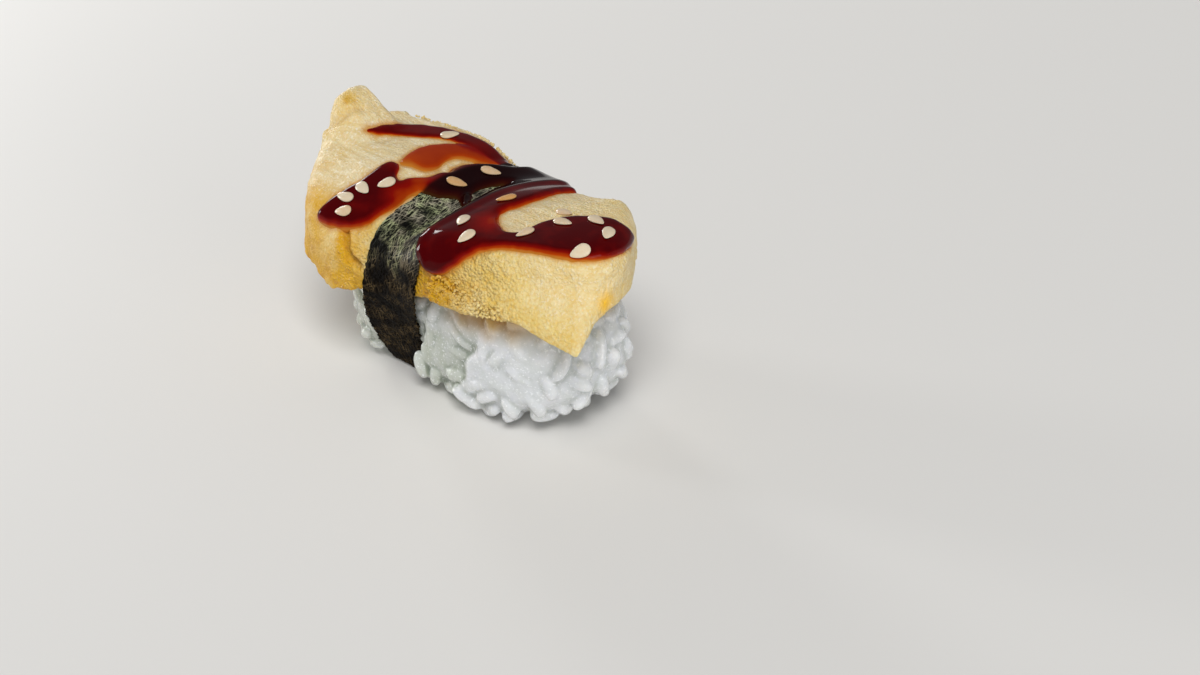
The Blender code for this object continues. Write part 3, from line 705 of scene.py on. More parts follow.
def bead_tree():
    """Geometry nodes that lay one long bead on each point, turned and stretched by the point."""
    tree = bpy.data.node_groups.new("Beads", "GeometryNodeTree")
    tree.interface.new_socket("Geometry", in_out="OUTPUT", socket_type="NodeSocketGeometry")
    for name, kind in BEAD_INPUTS.items():
        tree.interface.new_socket(name, in_out="INPUT", socket_type="NodeSocket" + kind)
    make = Wiring(tree)
    entry = tree.nodes.new("NodeGroupInput")
    given = {name: Value(make, entry.outputs[name]) for name in BEAD_INPUTS}

    ball = make.node("GeometryNodeMeshUVSphere", {}, {
        "Segments": given["Segments"], "Rings": given["Rings"], "Radius": 1.0})
    lying = make.node("GeometryNodeTransform", {}, {
        "Geometry": ball, "Rotation": Euler((0.0, math.pi / 2, 0.0))})
    spot = make.node("GeometryNodeInputPosition")
    x, y, z = (make.node("ShaderNodeSeparateXYZ", {}, {0: spot}, axis) for axis in range(3))
    thinner = 1.0 - given["Taper"] * x + given["Plumpness"] * x * x
    shaped = make.node("ShaderNodeCombineXYZ", {}, {
        0: x * given["Half Length"],
        1: y * thinner * given["Half Width"] + given["Bend"] * x * x,
        2: z * thinner * given["Half Height"]})
    bead = make.node("GeometryNodeSetPosition", {}, {"Geometry": lying, "Position": shaped})

    turn, stretch = (
        make.node("GeometryNodeInputNamedAttribute", {"data_type": "FLOAT_VECTOR"}, {"Name": name})
        for name in ("turn", "stretch"))
    spread = given["Size Spread"]
    chance = make.node("FunctionNodeRandomValue", {"data_type": "FLOAT"}, {
        RANDOM_LEAST: 1.0 - spread, RANDOM_MOST: 1.0 + spread, "Seed": given["Seed"]},
        RANDOM_RESULT)
    laid = make.node("GeometryNodeInstanceOnPoints", {}, {
        "Points": given["Points"], "Instance": bead, "Rotation": turn,
        "Scale": make.vector("SCALE", stretch, Scale=chance)})
    real = make.node("GeometryNodeRealizeInstances", {}, {"Geometry": laid})

    at = make.vector("SCALE", make.node("GeometryNodeInputPosition"), Scale=BEAD_DENTS_PER_MM / MM)
    dent = make.node("ShaderNodeTexNoise", {}, {"Vector": at, "Scale": 1.0, "Detail": 1.0})
    push = make.vector("SCALE", make.node("GeometryNodeInputNormal"),
                       Scale=(dent - 0.5) * given["Unevenness"])
    dented = make.node("GeometryNodeSetPosition", {}, {"Geometry": real, "Offset": push})
    smooth = make.node("GeometryNodeSetShadeSmooth", {}, {"Geometry": dented})
    done = make.node("GeometryNodeSetMaterial", {}, {
        "Geometry": smooth, "Material": given["Material"]})
    make.node("NodeGroupOutput", {}, {"Geometry": done})
    return tree


def lay_beads(name, points, values, inputs):
    """A mesh of beads on the points, made by the bead nodes with the given inputs."""
    base = add_object(name + "_points", new_mesh(name + "_points", points, [], values))
    tree = bpy.data.node_groups.get("Beads") or bead_tree()
    modifier = base.modifiers.new("Beads", "NODES")
    modifier.node_group = tree
    for socket in tree.interface.items_tree:
        if socket.in_out == "INPUT" and socket.name in inputs:
            modifier[socket.identifier] = inputs[socket.name]
    data = plain_mesh(base, name)
    if not data.polygons:
        raise RuntimeError(f"{name} came out empty")
    return data


def lie_on(normal, turn, tilt):
    """The Euler turn of a bead that lies along a surface, or tips up from it."""
    facing = Vector(normal).to_track_quat("Z", "Y").to_matrix()
    own = Matrix.Rotation(turn, 3, "Z") @ Matrix.Rotation(tilt, 3, "Y")
    return tuple((facing @ own).to_euler())


def head_along(normal, heading):
    """The Euler turn of a bead on a surface whose tip points along a heading seen from above."""
    up = Vector(normal)
    tip = Vector((math.cos(heading), math.sin(heading), 0.0))
    tip = (tip - up * tip.dot(up)).normalized()
    return tuple(Matrix((tip, up.cross(tip), up)).transposed().to_euler())


# ---------------------------------------------------------------- omelette


def slab_lattice(cell):
    """Points and quads of the smooth slab, cut into cells of about this many millimetres."""
    cells = np.maximum(4, np.round(SLAB_SIZE / cell)).astype(int)
    shares, quads = box_shell(cells)
    flat = shares * SLAB_SIZE - (SLAB_SIZE[0] / 2, SLAB_SIZE[1] / 2, 0.0)
    return flat, slab_surface(flat), quads


def yellow_share(points, normals):
    """Where the omelette shows its yellow crumb rather than its pale skin."""
    x = points[:, 0]
    start = 1.0 + 1.6 * smooth_step(-12.0, 14.0, x) + 3.2 * smooth_step(12.0, 28.0, x)
    uneven = 1.3 * smooth_noise(points, 6.0, 2)
    low = below_top(points) + uneven
    side = smooth_step(start - 0.6, start + 1.8, low)
    side = side * (1.0 - 0.45 * smooth_step(18.0, 28.0, x))
    rolled = 0.85 * smooth_step(-10.0, -14.5, points[:, 1]) + 0.4 * smooth_step(6.0, 20.0, x)
    peak = bell(-32.6, 2.8, x) * bell(1.2, 3.2, points[:, 1]) * (0.95 + uneven / 3)
    return np.maximum.reduce([side, rolled, peak, smooth_step(-0.2, -0.7, normals[:, 2])])


def golden_share(points):
    """Where the crumb is golden: beside the band, on the left lobe and on the raised corner."""
    x, y, z = points.T
    near = smooth_step(0.0, -10.0, y)
    beside = bell(-13.5, 3.0, x) * 0.9 + bell(5.5, 6.5, x) * 1.1 + bell(-25.0, 7.0, x) * 0.9
    low = smooth_step(7.0, 1.0, z - SLAB_UNDERSIDE_Z - hang(x, y))
    low = low * smooth_step(16.0, 4.0, x)
    beside = beside * near + 0.45 * low + 0.6 * bell(-32.6, 2.4, x) * bell(1.2, 2.8, y)
    return np.clip(beside * (0.85 + 0.6 * smooth_noise(points, 3.0)), 0, 1)


def orange_spot(points):
    """The orange spot on the right end."""
    away = (points - SPOT_MIDDLE) / SPOT_REACH
    return np.exp(-(away**2).sum(axis=1))


def crumb_share(points, yellow):
    """Where the crumb lies open and rough: near the band, less on the lobe and the right end."""
    x = points[:, 0]
    return yellow * smooth_step(-22.0, -6.0, x) * (1.0 - 0.8 * smooth_step(14.0, 25.0, x))


def slab_relief(flat, points, yellow, covered):
    """How far the surface stands off the smooth slab: swells, crumb, creases and a torn edge."""
    x = points[:, 0]
    a, b = unrolled(points, flat)
    band = on_band(x, points[:, 1], b, -0.2, 1.2)
    swell = 0.30 * smooth_noise(points, 7.0, 2) + 0.10 * smooth_noise(points, 2.4)
    rough = crumb_share(points, yellow)
    crumb = (0.3 * lumps(points, 1.2) + 0.24 * lumps(points, 0.75)) * (0.08 + 0.92 * rough)
    layers = smooth_noise(points * (0.22, 1.0, 0.6), 1.5, 2)
    skin = 0.12 * lumps(points, 1.5) + 0.07 * smooth_noise(points, 0.8) + 0.1 * layers
    relief = (swell + skin - 0.05) * (1 - 0.85 * band) + (crumb - 0.22 * yellow) * (1 - band)
    low = smooth_step(2.2, 0.0, flat[:, 2]) * smooth_step(-10.0, -16.0, flat[:, 1])
    low = low * smooth_step(20.0, 13.0, x)
    relief += 0.55 * low * (lumps(points, 1.7) - 0.25) * (1 - band)
    crease = line_distance(CREASE, a, b)
    relief += 0.6 * bell(0, 2.4, crease) - 1.3 * bell(0, 0.85, crease)
    fold = line_distance(FOLD, a, b)
    relief += 0.2 * bell(0, 2.0, fold) - 0.5 * bell(0, 0.5, fold)
    past = b - NOTCH[1] - 0.1 * (x - NOTCH[0])
    step = np.exp(-np.abs(past) / 3.0) * smooth_step(-32.0, -34.0, x)
    relief += step * (0.9 * smooth_step(0.3, -0.3, past) - 0.4)
    torn = smooth_step(12.5, 15.5, flat[:, 1]) * smooth_step(6.0, 9.0, flat[:, 2])
    relief += 0.6 * torn * smooth_step(2.0, -10.0, x) * (lumps(points, 1.5) - 0.3)
    return relief * (1 - 0.85 * covered)


def slab_finish(settings):
    """Pale skin and yellow crumb, golden and browned in places, damp with sauce, with painted
    shade in the creases and between the crumbs, and painted fine glints.
    """
    make = Finish("omelette")
    yellow, golden = make.attribute("yellow"), make.attribute("golden")
    mottle = make.noise(2.6, 4.0)
    streak = make.noise(1.0, 3.0, stretch=(5.0, 1.1, 0.8), twist=0.4)
    crumb = make.cells(0.5)
    patch = make.rise(make.noise(1.3, 3.0), 0.5, 0.66)
    speck = make.rise(make.noise(0.4, 2.0), 0.57, 0.66)
    # Painted shade, in golden, in the clefts between the crumbs.
    crumb_cleft_shade = make.rise(crumb, 0.35, 0.95)
    inner = make.coats(
        make.mix(make.rise(mottle, 0.32, 0.7), settings.crumb_colour, settings.crumb_dark),
        (golden * (0.65 + 1.1 * mottle), settings.golden_colour),
        (golden * patch * 0.8, settings.brown_colour),
    )
    base = make.coats(
        make.mix(make.rise(streak, 0.3, 0.72), settings.skin_colour, settings.skin_dark),
        (yellow * 1.25 + (mottle - 0.5) * 0.9 * yellow - 0.05, inner),
        # Painted glints: small highlights put into the colour.
        (speck * (0.55 - 0.47 * yellow), settings.glint_colour),
        (crumb_cleft_shade * (0.2 + 0.3 * yellow), settings.golden_colour),
        (make.attribute("spot"), settings.spot_colour),
        # Painted shade in the creases and the fold.
        (make.attribute("dent") * 0.6, settings.crease_shade_colour),
        (make.attribute("stain") * 0.9, settings.stain_colour),
    )
    fine = make.noise(0.4, 3.0)
    height = (1.0 - crumb) * make.attribute("rough") + fine * 0.8
    return make.surface(
        Base_Color=base,
        Roughness=(0.3 + 0.2 * mottle + 0.1 * yellow).clamped(),
        Normal=make.bump(height, 0.4),
        Specular_IOR_Level=0.4,
        Subsurface_Weight=0.08,
        Subsurface_Radius=(1.2, 0.7, 0.25),
        Subsurface_Scale=MM,
    )


def make_slab(settings):
    """The slab, with the values that its finish reads."""
    flat, points, quads = slab_lattice(settings.cell / MM)
    normals = point_normals(points, quads)
    yellow = yellow_share(points, normals)
    a, b = unrolled(points, flat)
    underside = normals[:, 2] < -0.3
    wet = np.where(underside, DRY, sauce_layers(a, b)[2])
    relief = slab_relief(flat, points, yellow, smooth_step(-0.8, 0.4, wet))
    crease = np.minimum(line_distance(CREASE, a, b), line_distance(FOLD, a, b) + 0.5)
    values = {
        "yellow": yellow,
        "rough": crumb_share(points, yellow),
        "golden": golden_share(points),
        "spot": orange_spot(points),
        "stain": bell(0, 0.55 + 0.3 * smooth_noise(points, 2.0), np.maximum(-wet, 0.0)),
        # dent: where the creases and the fold get painted shade.
        "dent": bell(0, 0.6, crease),
    }
    data = new_mesh("omelette", points + normals * relief[:, None], quads, values)
    add_piece("omelette", data, slab_finish(settings), "tamago")


def make_crumbs(settings):
    """Loose bits of omelette along the torn far edge and over the ragged near side."""
    draw = random.Random(settings.seed)
    _, width, thickness = SLAB_SIZE
    spots, outward = [], []
    for _ in range(settings.far_count):
        along = draw.triangular(*FAR_CRUMBS)
        spots.append((along, width / 2 - draw.uniform(*FAR_CRUMBS_FROM_EDGE), thickness))
        outward.append(FAR_CRUMBS_OUTWARD)
    for _ in range(settings.near_count):
        along = draw.choice((*(draw.triangular(*patch) for patch in NEAR_CRUMBS),
                             draw.uniform(*LOBE_CRUMBS)))
        spots.append((along, -width / 2, draw.triangular(*NEAR_CRUMBS_HEIGHT)))
        outward.append(NEAR_CRUMBS_OUTWARD)
    spots = np.array(spots)
    points = slab_surface(spots) + CRUMB_LIFT * np.array(outward)
    b = unrolled(points, spots)[1]
    points = points[on_band(points[:, 0], points[:, 1], b, 0.2, 1.0) < 0.5]
    sizes = [[draw.uniform(*CRUMB_STRETCH) for _ in range(3)] for _ in points]
    turns = [[draw.uniform(0.0, math.tau) for _ in range(3)] for _ in points]
    values = {"turn": turns, "stretch": sizes}
    long, wide, high = (half * MM for half in CRUMB_HALF_SIZE)
    inputs = {"Half Length": long, "Half Width": wide, "Half Height": high,
              "Unevenness": 0.5 * MM, "Segments": 7, "Rings": 5, "Size Spread": 0.2,
              "Seed": settings.seed, "Material": bpy.data.objects["omelette"].active_material}
    data = lay_beads("omelette_crumbs", points, values, inputs)
    bits = mesh_points(data)
    far = bits[:, 1] > 0.0
    set_values(data, {"yellow": np.where(far, 0.4, 0.9),
                      "golden": np.where(far, 0.0, 0.85 * golden_share(bits))})
    add_piece("omelette_crumbs", data, None, "tamago")


# ---------------------------------------------------------------- sauce


def pool_field(pools, x, b):
    """Distance into the joined pools, their rims a little uneven."""
    wobble = 0.22 * smooth_noise(np.stack([x, b, 0 * x], axis=-1), 2.2, 2)
    return smooth_union([depth_inside(pool, x, b) for pool in pools], 1.0) + wobble


def sauce_layers(x, b):
    """At each place: the sauce's depth, how dark it looks, and the distance into it.

    Each pool has a steep dark rim above and to the left, and thins out the other way.
    """
    settings = bpy.context.scene.nigiri_sauce
    full, rim = settings.depth / MM, settings.rim / MM
    depth, dark, inside = np.zeros_like(x), np.zeros_like(x), np.full_like(x, -np.inf)
    for pools, share, darkness, fade in POOL_GROUPS:
        into = pool_field(pools, x, b)
        along, across = fade * settings.fade_along / MM, fade * settings.fade_across / MM
        shifted = pool_field(pools, x + along, b - across)
        thick = smooth_step(-0.9 * fade, 0.8 * fade, shifted)
        round_rim = np.clip(into / rim, 0.0, 1.0)
        round_rim = np.sqrt(1.0 - (1.0 - round_rim) ** 2)
        depth = np.maximum(depth, full * share * round_rim * (0.5 + 0.5 * thick))
        dark = np.maximum(dark, darkness * thick * smooth_step(-0.3, 0.3, into))
        inside = np.maximum(inside, into)
    for middle_x, middle_b, radius, share in THIN_SPOTS:
        dark *= 1.0 - share * bell(middle_x, radius, x) * bell(middle_b, radius, b)
    return depth, dark, inside


def sauce_sheet(cell):
    """A fine sheet over the slab's top, near and far sides and right end."""
    length, width, thickness = SLAB_SIZE
    ways = []
    for size, reach in ((length, SAUCE_OVER_ENDS), (width, thickness - SAUCE_ABOVE_HEM)):
        way = np.arange(-size / 2 - reach, size / 2 + reach, cell)
        ways.append((np.clip(way, -size / 2, size / 2), np.maximum(np.abs(way) - size / 2, 0.0)))
    (u, end_drop), (v, side_drop) = ways
    shape = (len(u), len(v))
    drop = end_drop[:, None] + side_drop[None, :]
    w = np.clip(thickness - drop, 0.0, thickness)
    flat = np.stack([np.broadcast_to(u[:, None], shape), np.broadcast_to(v, shape), w], axis=-1)
    return flat.reshape(-1, 3), grid_quads(*shape)


def sauce_finish(settings):
    """Thick red-brown sauce: orange where it is thin, near black over the nori."""
    make = Finish("sauce")
    over_band = make.attribute("over_band")
    shade = (make.attribute("dark") * (0.75 + 0.5 * make.noise(3.0, 2.0))).clamped()
    body = make.ramp(shade, (0.0, settings.edge_colour), (0.16, settings.thin_colour),
                     (0.5, settings.middle_colour), (1.0, settings.deep_colour))
    return make.surface(
        Base_Color=make.mix((over_band * 0.92).clamped(), body, settings.over_nori_colour),
        Roughness=0.08,
        Normal=make.bump(make.noise(2.2, 1.0), 0.03, 0.3),
        Specular_IOR_Level=0.07,
    )


def settle(data, rounds):
    """Smooths a mesh, as surface tension does."""
    film = bmesh.new()
    film.from_mesh(data)
    every_way = {"use_axis_x": True, "use_axis_y": True, "use_axis_z": True}
    for _ in range(rounds):
        bmesh.ops.smooth_vert(film, verts=film.verts, factor=0.5, **every_way)
    film.to_mesh(data)
    film.free()


def make_sauce(settings):
    """The sauce as one thin closed film, lifted where it runs over the band."""
    flat, quads = sauce_sheet(settings.cell / MM)
    points = slab_surface(flat)
    a, b = unrolled(points, flat)
    depth, dark, inside = sauce_layers(a, b)
    quads = quads[(inside > -SAUCE_MARGIN)[quads].all(axis=1)]
    quads, normals = facing_up(quads, point_normals(points, quads), np.argmax(inside))
    steep, gentle = (on_band(points[:, 0], points[:, 1], b, -0.3, end) for end in (0.65, 2.2))
    lift = steep + (gentle - steep) * smooth_step(0.0, 1.5, inside)
    base = points + normals * lift[:, None] * (BAND_OFF_SLAB + BAND_THICKNESS)
    top = np.where(inside < 0.0, np.maximum(inside * 0.8, -0.5), depth)
    upper, lower = base + normals * top[:, None], base - normals * SAUCE_ROOT
    values = {"dark": dark, "over_band": on_band(base[:, 0], base[:, 1], b, -0.4, 0.5)}
    data = new_mesh("sauce", *closed_sheet(upper, lower, quads, values))
    settle(data, settings.settle_rounds)
    add_piece("sauce", data, sauce_finish(settings), "tamago", "nori")


# ---------------------------------------------------------------- sesame


# A height well above the whole piece, the places round a seed's middle where it feels for what
# lies below it, and the least and most that its length and width are stretched.
ABOVE_ALL = 80.0
SEED_FEET = ((1, 0), (-1, 0), (0, 1), (0, -1))
SEED_STRETCH = ((0.92, 1.1), (0.9, 1.08))


def fall_on(pieces, x, y):
    """Where a point that falls at (x, y) meets the uppermost of the pieces."""
    start = Vector((np.array((x, y, ABOVE_ALL)) + TO_FRAME) * MM)
    hits = [tree.ray_cast(start, Vector((0.0, 0.0, -1.0)))[0] for tree in pieces]
    highest = max((hit for hit in hits if hit), key=lambda hit: hit.z, default=None)
    if highest is None:
        raise RuntimeError(f"nothing lies under the seed at {x:.1f}, {y:.1f}")
    return np.array(highest) / MM - TO_FRAME


def seed_finish(settings):
    """A pale seed, toasted as far as its own value says."""
    make = Finish("sesame")
    toast = make.attribute("toast")
    speck = make.noise(0.5, 3.0)
    share = (toast + (speck - 0.5) * 0.5).clamped()
    return make.surface(
        Base_Color=make.mix(share, settings.pale_colour, settings.toasted_colour),
        Roughness=0.32,
        Normal=make.bump(make.noise(0.3, 2.0), 0.06, 0.4),
        Subsurface_Weight=0.15,
        Subsurface_Radius=(0.8, 0.6, 0.4),
        Subsurface_Scale=MM,
        Coat_Weight=0.25,
        Coat_Roughness=0.15,
    )


def make_seeds(settings):
    """Seeds that lie flat on whatever is uppermost below them."""
    draw = random.Random(settings.seed)
    graph = bpy.context.evaluated_depsgraph_get()
    under = [BVHTree.FromObject(bpy.data.objects[name], graph)
             for name in ("omelette", "sauce", "nori_band")]
    points, turns, stretch = [], [], []
    for x, y, heading, _ in SEEDS:
        spots = [fall_on(under, x + dx, y + dy) for dx, dy in SEED_FEET]
        normal = np.cross(spots[0] - spots[1], spots[2] - spots[3])
        normal /= np.linalg.norm(normal)
        middle = fall_on(under, x, y)
        highest = max([*spots, middle], key=lambda spot: spot @ normal)
        middle = middle + normal * (0.5 * (highest - middle) @ normal)
        points.append(middle + normal * (settings.half_height - settings.sink) / MM)
        turns.append(head_along(normal, math.radians(heading)))
        stretch.append([draw.uniform(*spread) for spread in SEED_STRETCH] + [1.0])
    values = {"turn": turns, "stretch": stretch, "toast": [seed[3] for seed in SEEDS]}
    inputs = {"Half Length": settings.half_length, "Half Width": settings.half_width,
              "Half Height": settings.half_height, "Taper": 0.34, "Unevenness": 0.12 * MM,
              "Segments": 24, "Rings": 16, "Size Spread": 0.03, "Seed": settings.seed,
              "Material": seed_finish(settings)}
    data = lay_beads("sesame_seeds", points, values, inputs)
    add_piece("sesame_seeds", data, None, "tamago", "nori")


# ---------------------------------------------------------------- nori


def band_rings(across):
    """The band's closed paths round slab and rice, one for each place across its width."""
    off = BAND_OFF_SLAB + BAND_THICKNESS / 2
    side, top = SLAB_SIZE[1] / 2 + off, SLAB_SIZE[2] + off
    radius = SLAB_TOP_RADIUS + off
    straight = np.linspace(BAND_START_ON_SIDE, top - radius, BAND_SECTION_STEPS)
    path = [(-side, w) for w in straight]
    for angle in np.radians(np.linspace(0, 90, BAND_SECTION_STEPS))[1:]:
        out = radius * math.cos(angle)
        path.append((-side + radius - out, top - radius + radius * math.sin(angle)))
    path += [(v, top) for v in np.linspace(-side + radius, 0.0, 2 * BAND_SECTION_STEPS)[1:]]
    path = np.array(path + [(-v, w) for v, w in reversed(path[:-1])])
    v, w = np.broadcast_arrays(*(p[None, :] for p in path.T), across[:, None])[:2]
    drop = np.where(v < 0, np.maximum(0.0, SLAB_SIZE[2] - w), 0.0)
    u = band_middle_x(v) - SLAB_MIDDLE_X + SLAB_SKEW * v
    for _ in range(BAND_FIT_ROUNDS):
        x, y, _ = np.moveaxis(drape(np.stack([u, v, w], axis=-1)), -1, 0)
        shift = across[:, None] * band_half_width(across[:, None], y - drop)
        u = u - (x - band_middle_x(y) - shift)
    over = drape(np.stack([u, v, w], axis=-1))
    near_foot, far_foot = band_foot(-1, across), band_foot(1, across)
    parts = [
        over,
        band_fall(over[:, -1], far_foot, across),
        line_between(far_foot, near_foot, BAND_FLOOR_STEPS),
        band_fall(over[:, 0], near_foot, across)[:, ::-1],
    ]
    return np.concatenate(parts, axis=1)


def band_foot(side, across):
    """Where the band turns under the rice: side is -1 near and 1 far."""
    middle = BAND_FLOOR_NEAR_X if side < 0 else BAND_FLOOR_FAR_X
    x = middle + across * BAND_FLOOR_WIDTH / 2
    height = BAND_CLEAR_OF_FLOOR + BAND_THICKNESS / 2
    return np.stack([x, 0 * x + side * BAND_FLOOR_HALF_WIDTH, 0 * x + height], axis=-1)


def line_between(start, end, steps):
    """Straight rows of points from each start to its end."""
    share = np.linspace(0, 1, steps)[None, :, None]
    return start[:, None] * (1 - share) + end[:, None] * share


def band_fall(edge, foot, across):
    """From the slab's edge down to the foot, both left out: the band swings and narrows."""
    share = np.linspace(0, 1, BAND_FALL_STEPS + 1)[1:-1]
    fall = edge[:, None] + (foot - edge)[:, None] * share[None, :, None]
    swing = 1.0 - (1.0 - share) ** 2
    fall[..., 0] = edge[:, :1] + (foot - edge)[:, :1] * swing
    outward = np.sign(foot[0, 1])
    fall[..., 1] -= outward * BAND_TWIST * across[:, None] * np.sin(math.pi * share)
    return fall


# Directions of the strands in the band (radians off its length), their width and length.
NORI_STRANDS = ((-0.45, 0.22, 2.3), (0.35, 0.21, 2.0), (1.2, 0.24, 1.6), (-0.1, 0.26, 3.4))


def nori_finish(settings):
    """Near black nori with green ridges and matted pale fibres, damp and brown low down."""
    make = Finish("nori")
    brown, ridges = make.attribute("brown"), make.attribute("ridge")
    weave = make.attribute("weave", "Vector")
    fibres = 0.0
    for angle, width, length in NORI_STRANDS:
        turned = make.node("ShaderNodeVectorRotate", {"rotation_type": "Z_AXIS"},
                           {"Vector": weave, "Angle": angle})
        strand = make.noise(1.0, 1.0, (width, length, 1.0), 0.5, turned)
        fibres = make.rise(strand, 0.56, 0.65) + fibres
    patch = make.noise(3.2, 3.0)
    tint = make.noise(2.6, 2.0)
    hair = make.mix(make.rise(tint, 0.42, 0.6), settings.grey_colour, settings.fibre_colour)
    shown = (0.68 + 3.4 * (patch - 0.5) - 0.35 * brown).clamped()
    base = make.coats(
        settings.dark_colour,
        (ridges * (0.4 + 1.2 * patch) - 0.2, settings.green_colour),
        (brown * (0.75 + 0.5 * patch), settings.brown_colour),
        (fibres * shown * (1.0 - 0.3 * brown), make.mix(brown, hair, settings.hair_colour)),
    )
    return make.surface(
        Base_Color=base,
        Roughness=(0.3 + 0.2 * patch + 0.3 * brown).clamped(),
        Normal=make.bump(ridges * 0.6 + fibres * 0.3, 0.35),
        Specular_IOR_Level=0.07,
        Coat_Weight=(0.16 - 0.16 * brown).clamped(),
        Coat_Roughness=0.25,
    )


def make_nori(settings):
    """The band as one crumpled closed loop with frayed edges."""
    across = np.linspace(-1, 1, settings.across_count)
    rings = band_rings(across)
    rows, columns = rings.shape[:2]
    middle = rings.reshape(-1, 3)
    quads = grid_quads(rows, columns, closed=True)
    quads, normals = facing_up(quads, point_normals(middle, quads), columns // 5)
    height = middle[:, 2]
    loose = smooth_step(24.0, 14.0, height) * smooth_step(0.2, 4.0, height)
    crumple = 0.14 * smooth_noise(middle, 3.2, 2)
    slant = middle @ np.array(((0.9, 0.3, 0.2), (-0.3, 0.45, 0.3), (0.1, -0.3, 0.45)))
    ridge = 1.0 - np.clip(np.abs(smooth_noise(slant, 0.6, 2)) * 3.0, 0.0, 1.0)
    crumple = crumple + 0.13 * (ridge - 0.4) * np.clip(0.7 + smooth_noise(middle, 3.0), 0.2, 1.0)
    covered = smooth_step(-0.8, 0.4, sauce_layers(middle[:, 0], middle[:, 1])[2])
    covered = covered * smooth_step(SLAB_UNDERSIDE_Z, SLAB_UNDERSIDE_Z + 4.0, height)
    crumple = crumple * (1 - 0.8 * covered) + 0.25 * loose * smooth_noise(middle, 4.5)
    edge = np.repeat(np.abs(across) ** BAND_FRAY_POWER * np.sign(across), columns)
    stir = smooth_noise(middle * (9.0, 1.0, 1.0), 1.5, 3)
    middle = middle + normals * crumple[:, None]
    middle[:, 0] += edge * (0.25 + 0.45 * loose) * stir
    half = normals * BAND_THICKNESS / 2
    brown = smooth_step(33.0, 22.0, height + 3.0 * smooth_noise(middle, 5.0))
    steps = np.linalg.norm(np.diff(rings[rows // 2], axis=0), axis=1)
    length = np.concatenate([[0.0], np.cumsum(steps)])
    weave = np.stack(np.broadcast_arrays(across[:, None] * BAND_WIDTH / 2, length, 0.0), axis=-1)
    values = {"brown": brown, "ridge": ridge, "weave": weave.reshape(-1, 3)}
    data = new_mesh("nori_band", *closed_sheet(middle + half, middle - half, quads, values))
    add_piece("nori_band", data, nori_finish(settings), "nori")


# ---------------------------------------------------------------- rice


def fall_share(z):
    """How high a place is on the way from the floor (0) to where the band leaves the slab (1)."""
    return np.clip(z / BAND_LEAVES_SLAB_Z, 0.0, 1.0)


def band_reach(points, start, end):
    """How far out the rice may reach at each place because of the band."""
    x, y, z = np.moveaxis(points, -1, 0)
    share = 1.0 - fall_share(z) ** 2
    floor_x = np.where(y < 0, BAND_FLOOR_NEAR_X, BAND_FLOOR_FAR_X)
    edge_x = np.where(y < 0, BAND_NEAR_X, BAND_FAR_X)
    half = (BAND_WIDTH + (BAND_FLOOR_WIDTH - BAND_WIDTH) * share) / 2
    inside = smooth_step(half + end, half + start, np.abs(x - edge_x - (floor_x - edge_x) * share))
    wide = SLAB_SIZE[1] / 2 - BAND_START_ON_SIDE - BAND_FLOOR_HALF_WIDTH
    held = BAND_FLOOR_HALF_WIDTH + wide * fall_share(z) - BAND_THICKNESS / 2 - BAND_TWIST
    free = RICE_HALF_SIZE[1] + RICE_FREE_REACH
    return free + (held - free) * inside


def floor_hollow(x, y):
    """Height of the rice's underside, hollowed where the band passes below."""
    share = np.clip((y / BAND_FLOOR_HALF_WIDTH + 1) / 2, 0.0, 1.0)
    middle = BAND_FLOOR_NEAR_X + (BAND_FLOOR_FAR_X - BAND_FLOOR_NEAR_X) * share
    return RICE_FLOOR_HOLLOW * smooth_step(3.4, 0.9, np.abs(x - middle) - BAND_FLOOR_WIDTH / 2)


def slab_underside(points):
    """Height of the draped slab's underside over or below each point."""
    return SLAB_UNDERSIDE_Z + hang(points[..., 0], points[..., 1])


def rice_recess(points):
    """Where the near side lies back, since grains have come away beside the band."""
    edge = 4.5 + 0.44 * points[..., 2] + 0.6 * np.sin(points[..., 2])
    low = 0.35 + 0.65 * smooth_step(17.0, 11.0, points[..., 2])
    return smooth_step(edge + 0.7, edge - 0.7, points[..., 0]) * (points[..., 1] < 0.0) * low


def rice_surface(directions):
    """The pillow's surface in directions given on the unit cube, and its outward normals."""
    power = RICE_SQUARENESS
    length = (np.abs(directions) ** power).sum(-1, keepdims=True) ** (1 / power)
    unit = directions / length
    points = RICE_MIDDLE + RICE_HALF_SIZE * unit
    x = points[..., 0]
    lift = RICE_RIGHT_LIFT * smooth_step(6.0, 24.0, x)
    lift = lift - RICE_LEFT_SETTLE * smooth_step(-6.0, -24.0, x)
    points[..., 2] = np.maximum(0.0, points[..., 2] + lift * np.maximum(0.0, -unit[..., 2]))
    points[..., 1] += RICE_RECESS * rice_recess(points)
    limit = band_reach(points, 1.2, 2.6)
    points[..., 1] = np.clip(points[..., 1], -limit, limit)
    points[..., 2] = np.maximum(points[..., 2], floor_hollow(points[..., 0], points[..., 1]))
    points[..., 2] = np.minimum(points[..., 2], slab_underside(points) - RICE_BELOW_SLAB)
    normals = np.sign(unit) * np.abs(unit) ** (power - 1) / RICE_HALF_SIZE
    return points, normals / np.linalg.norm(normals, axis=-1, keepdims=True)


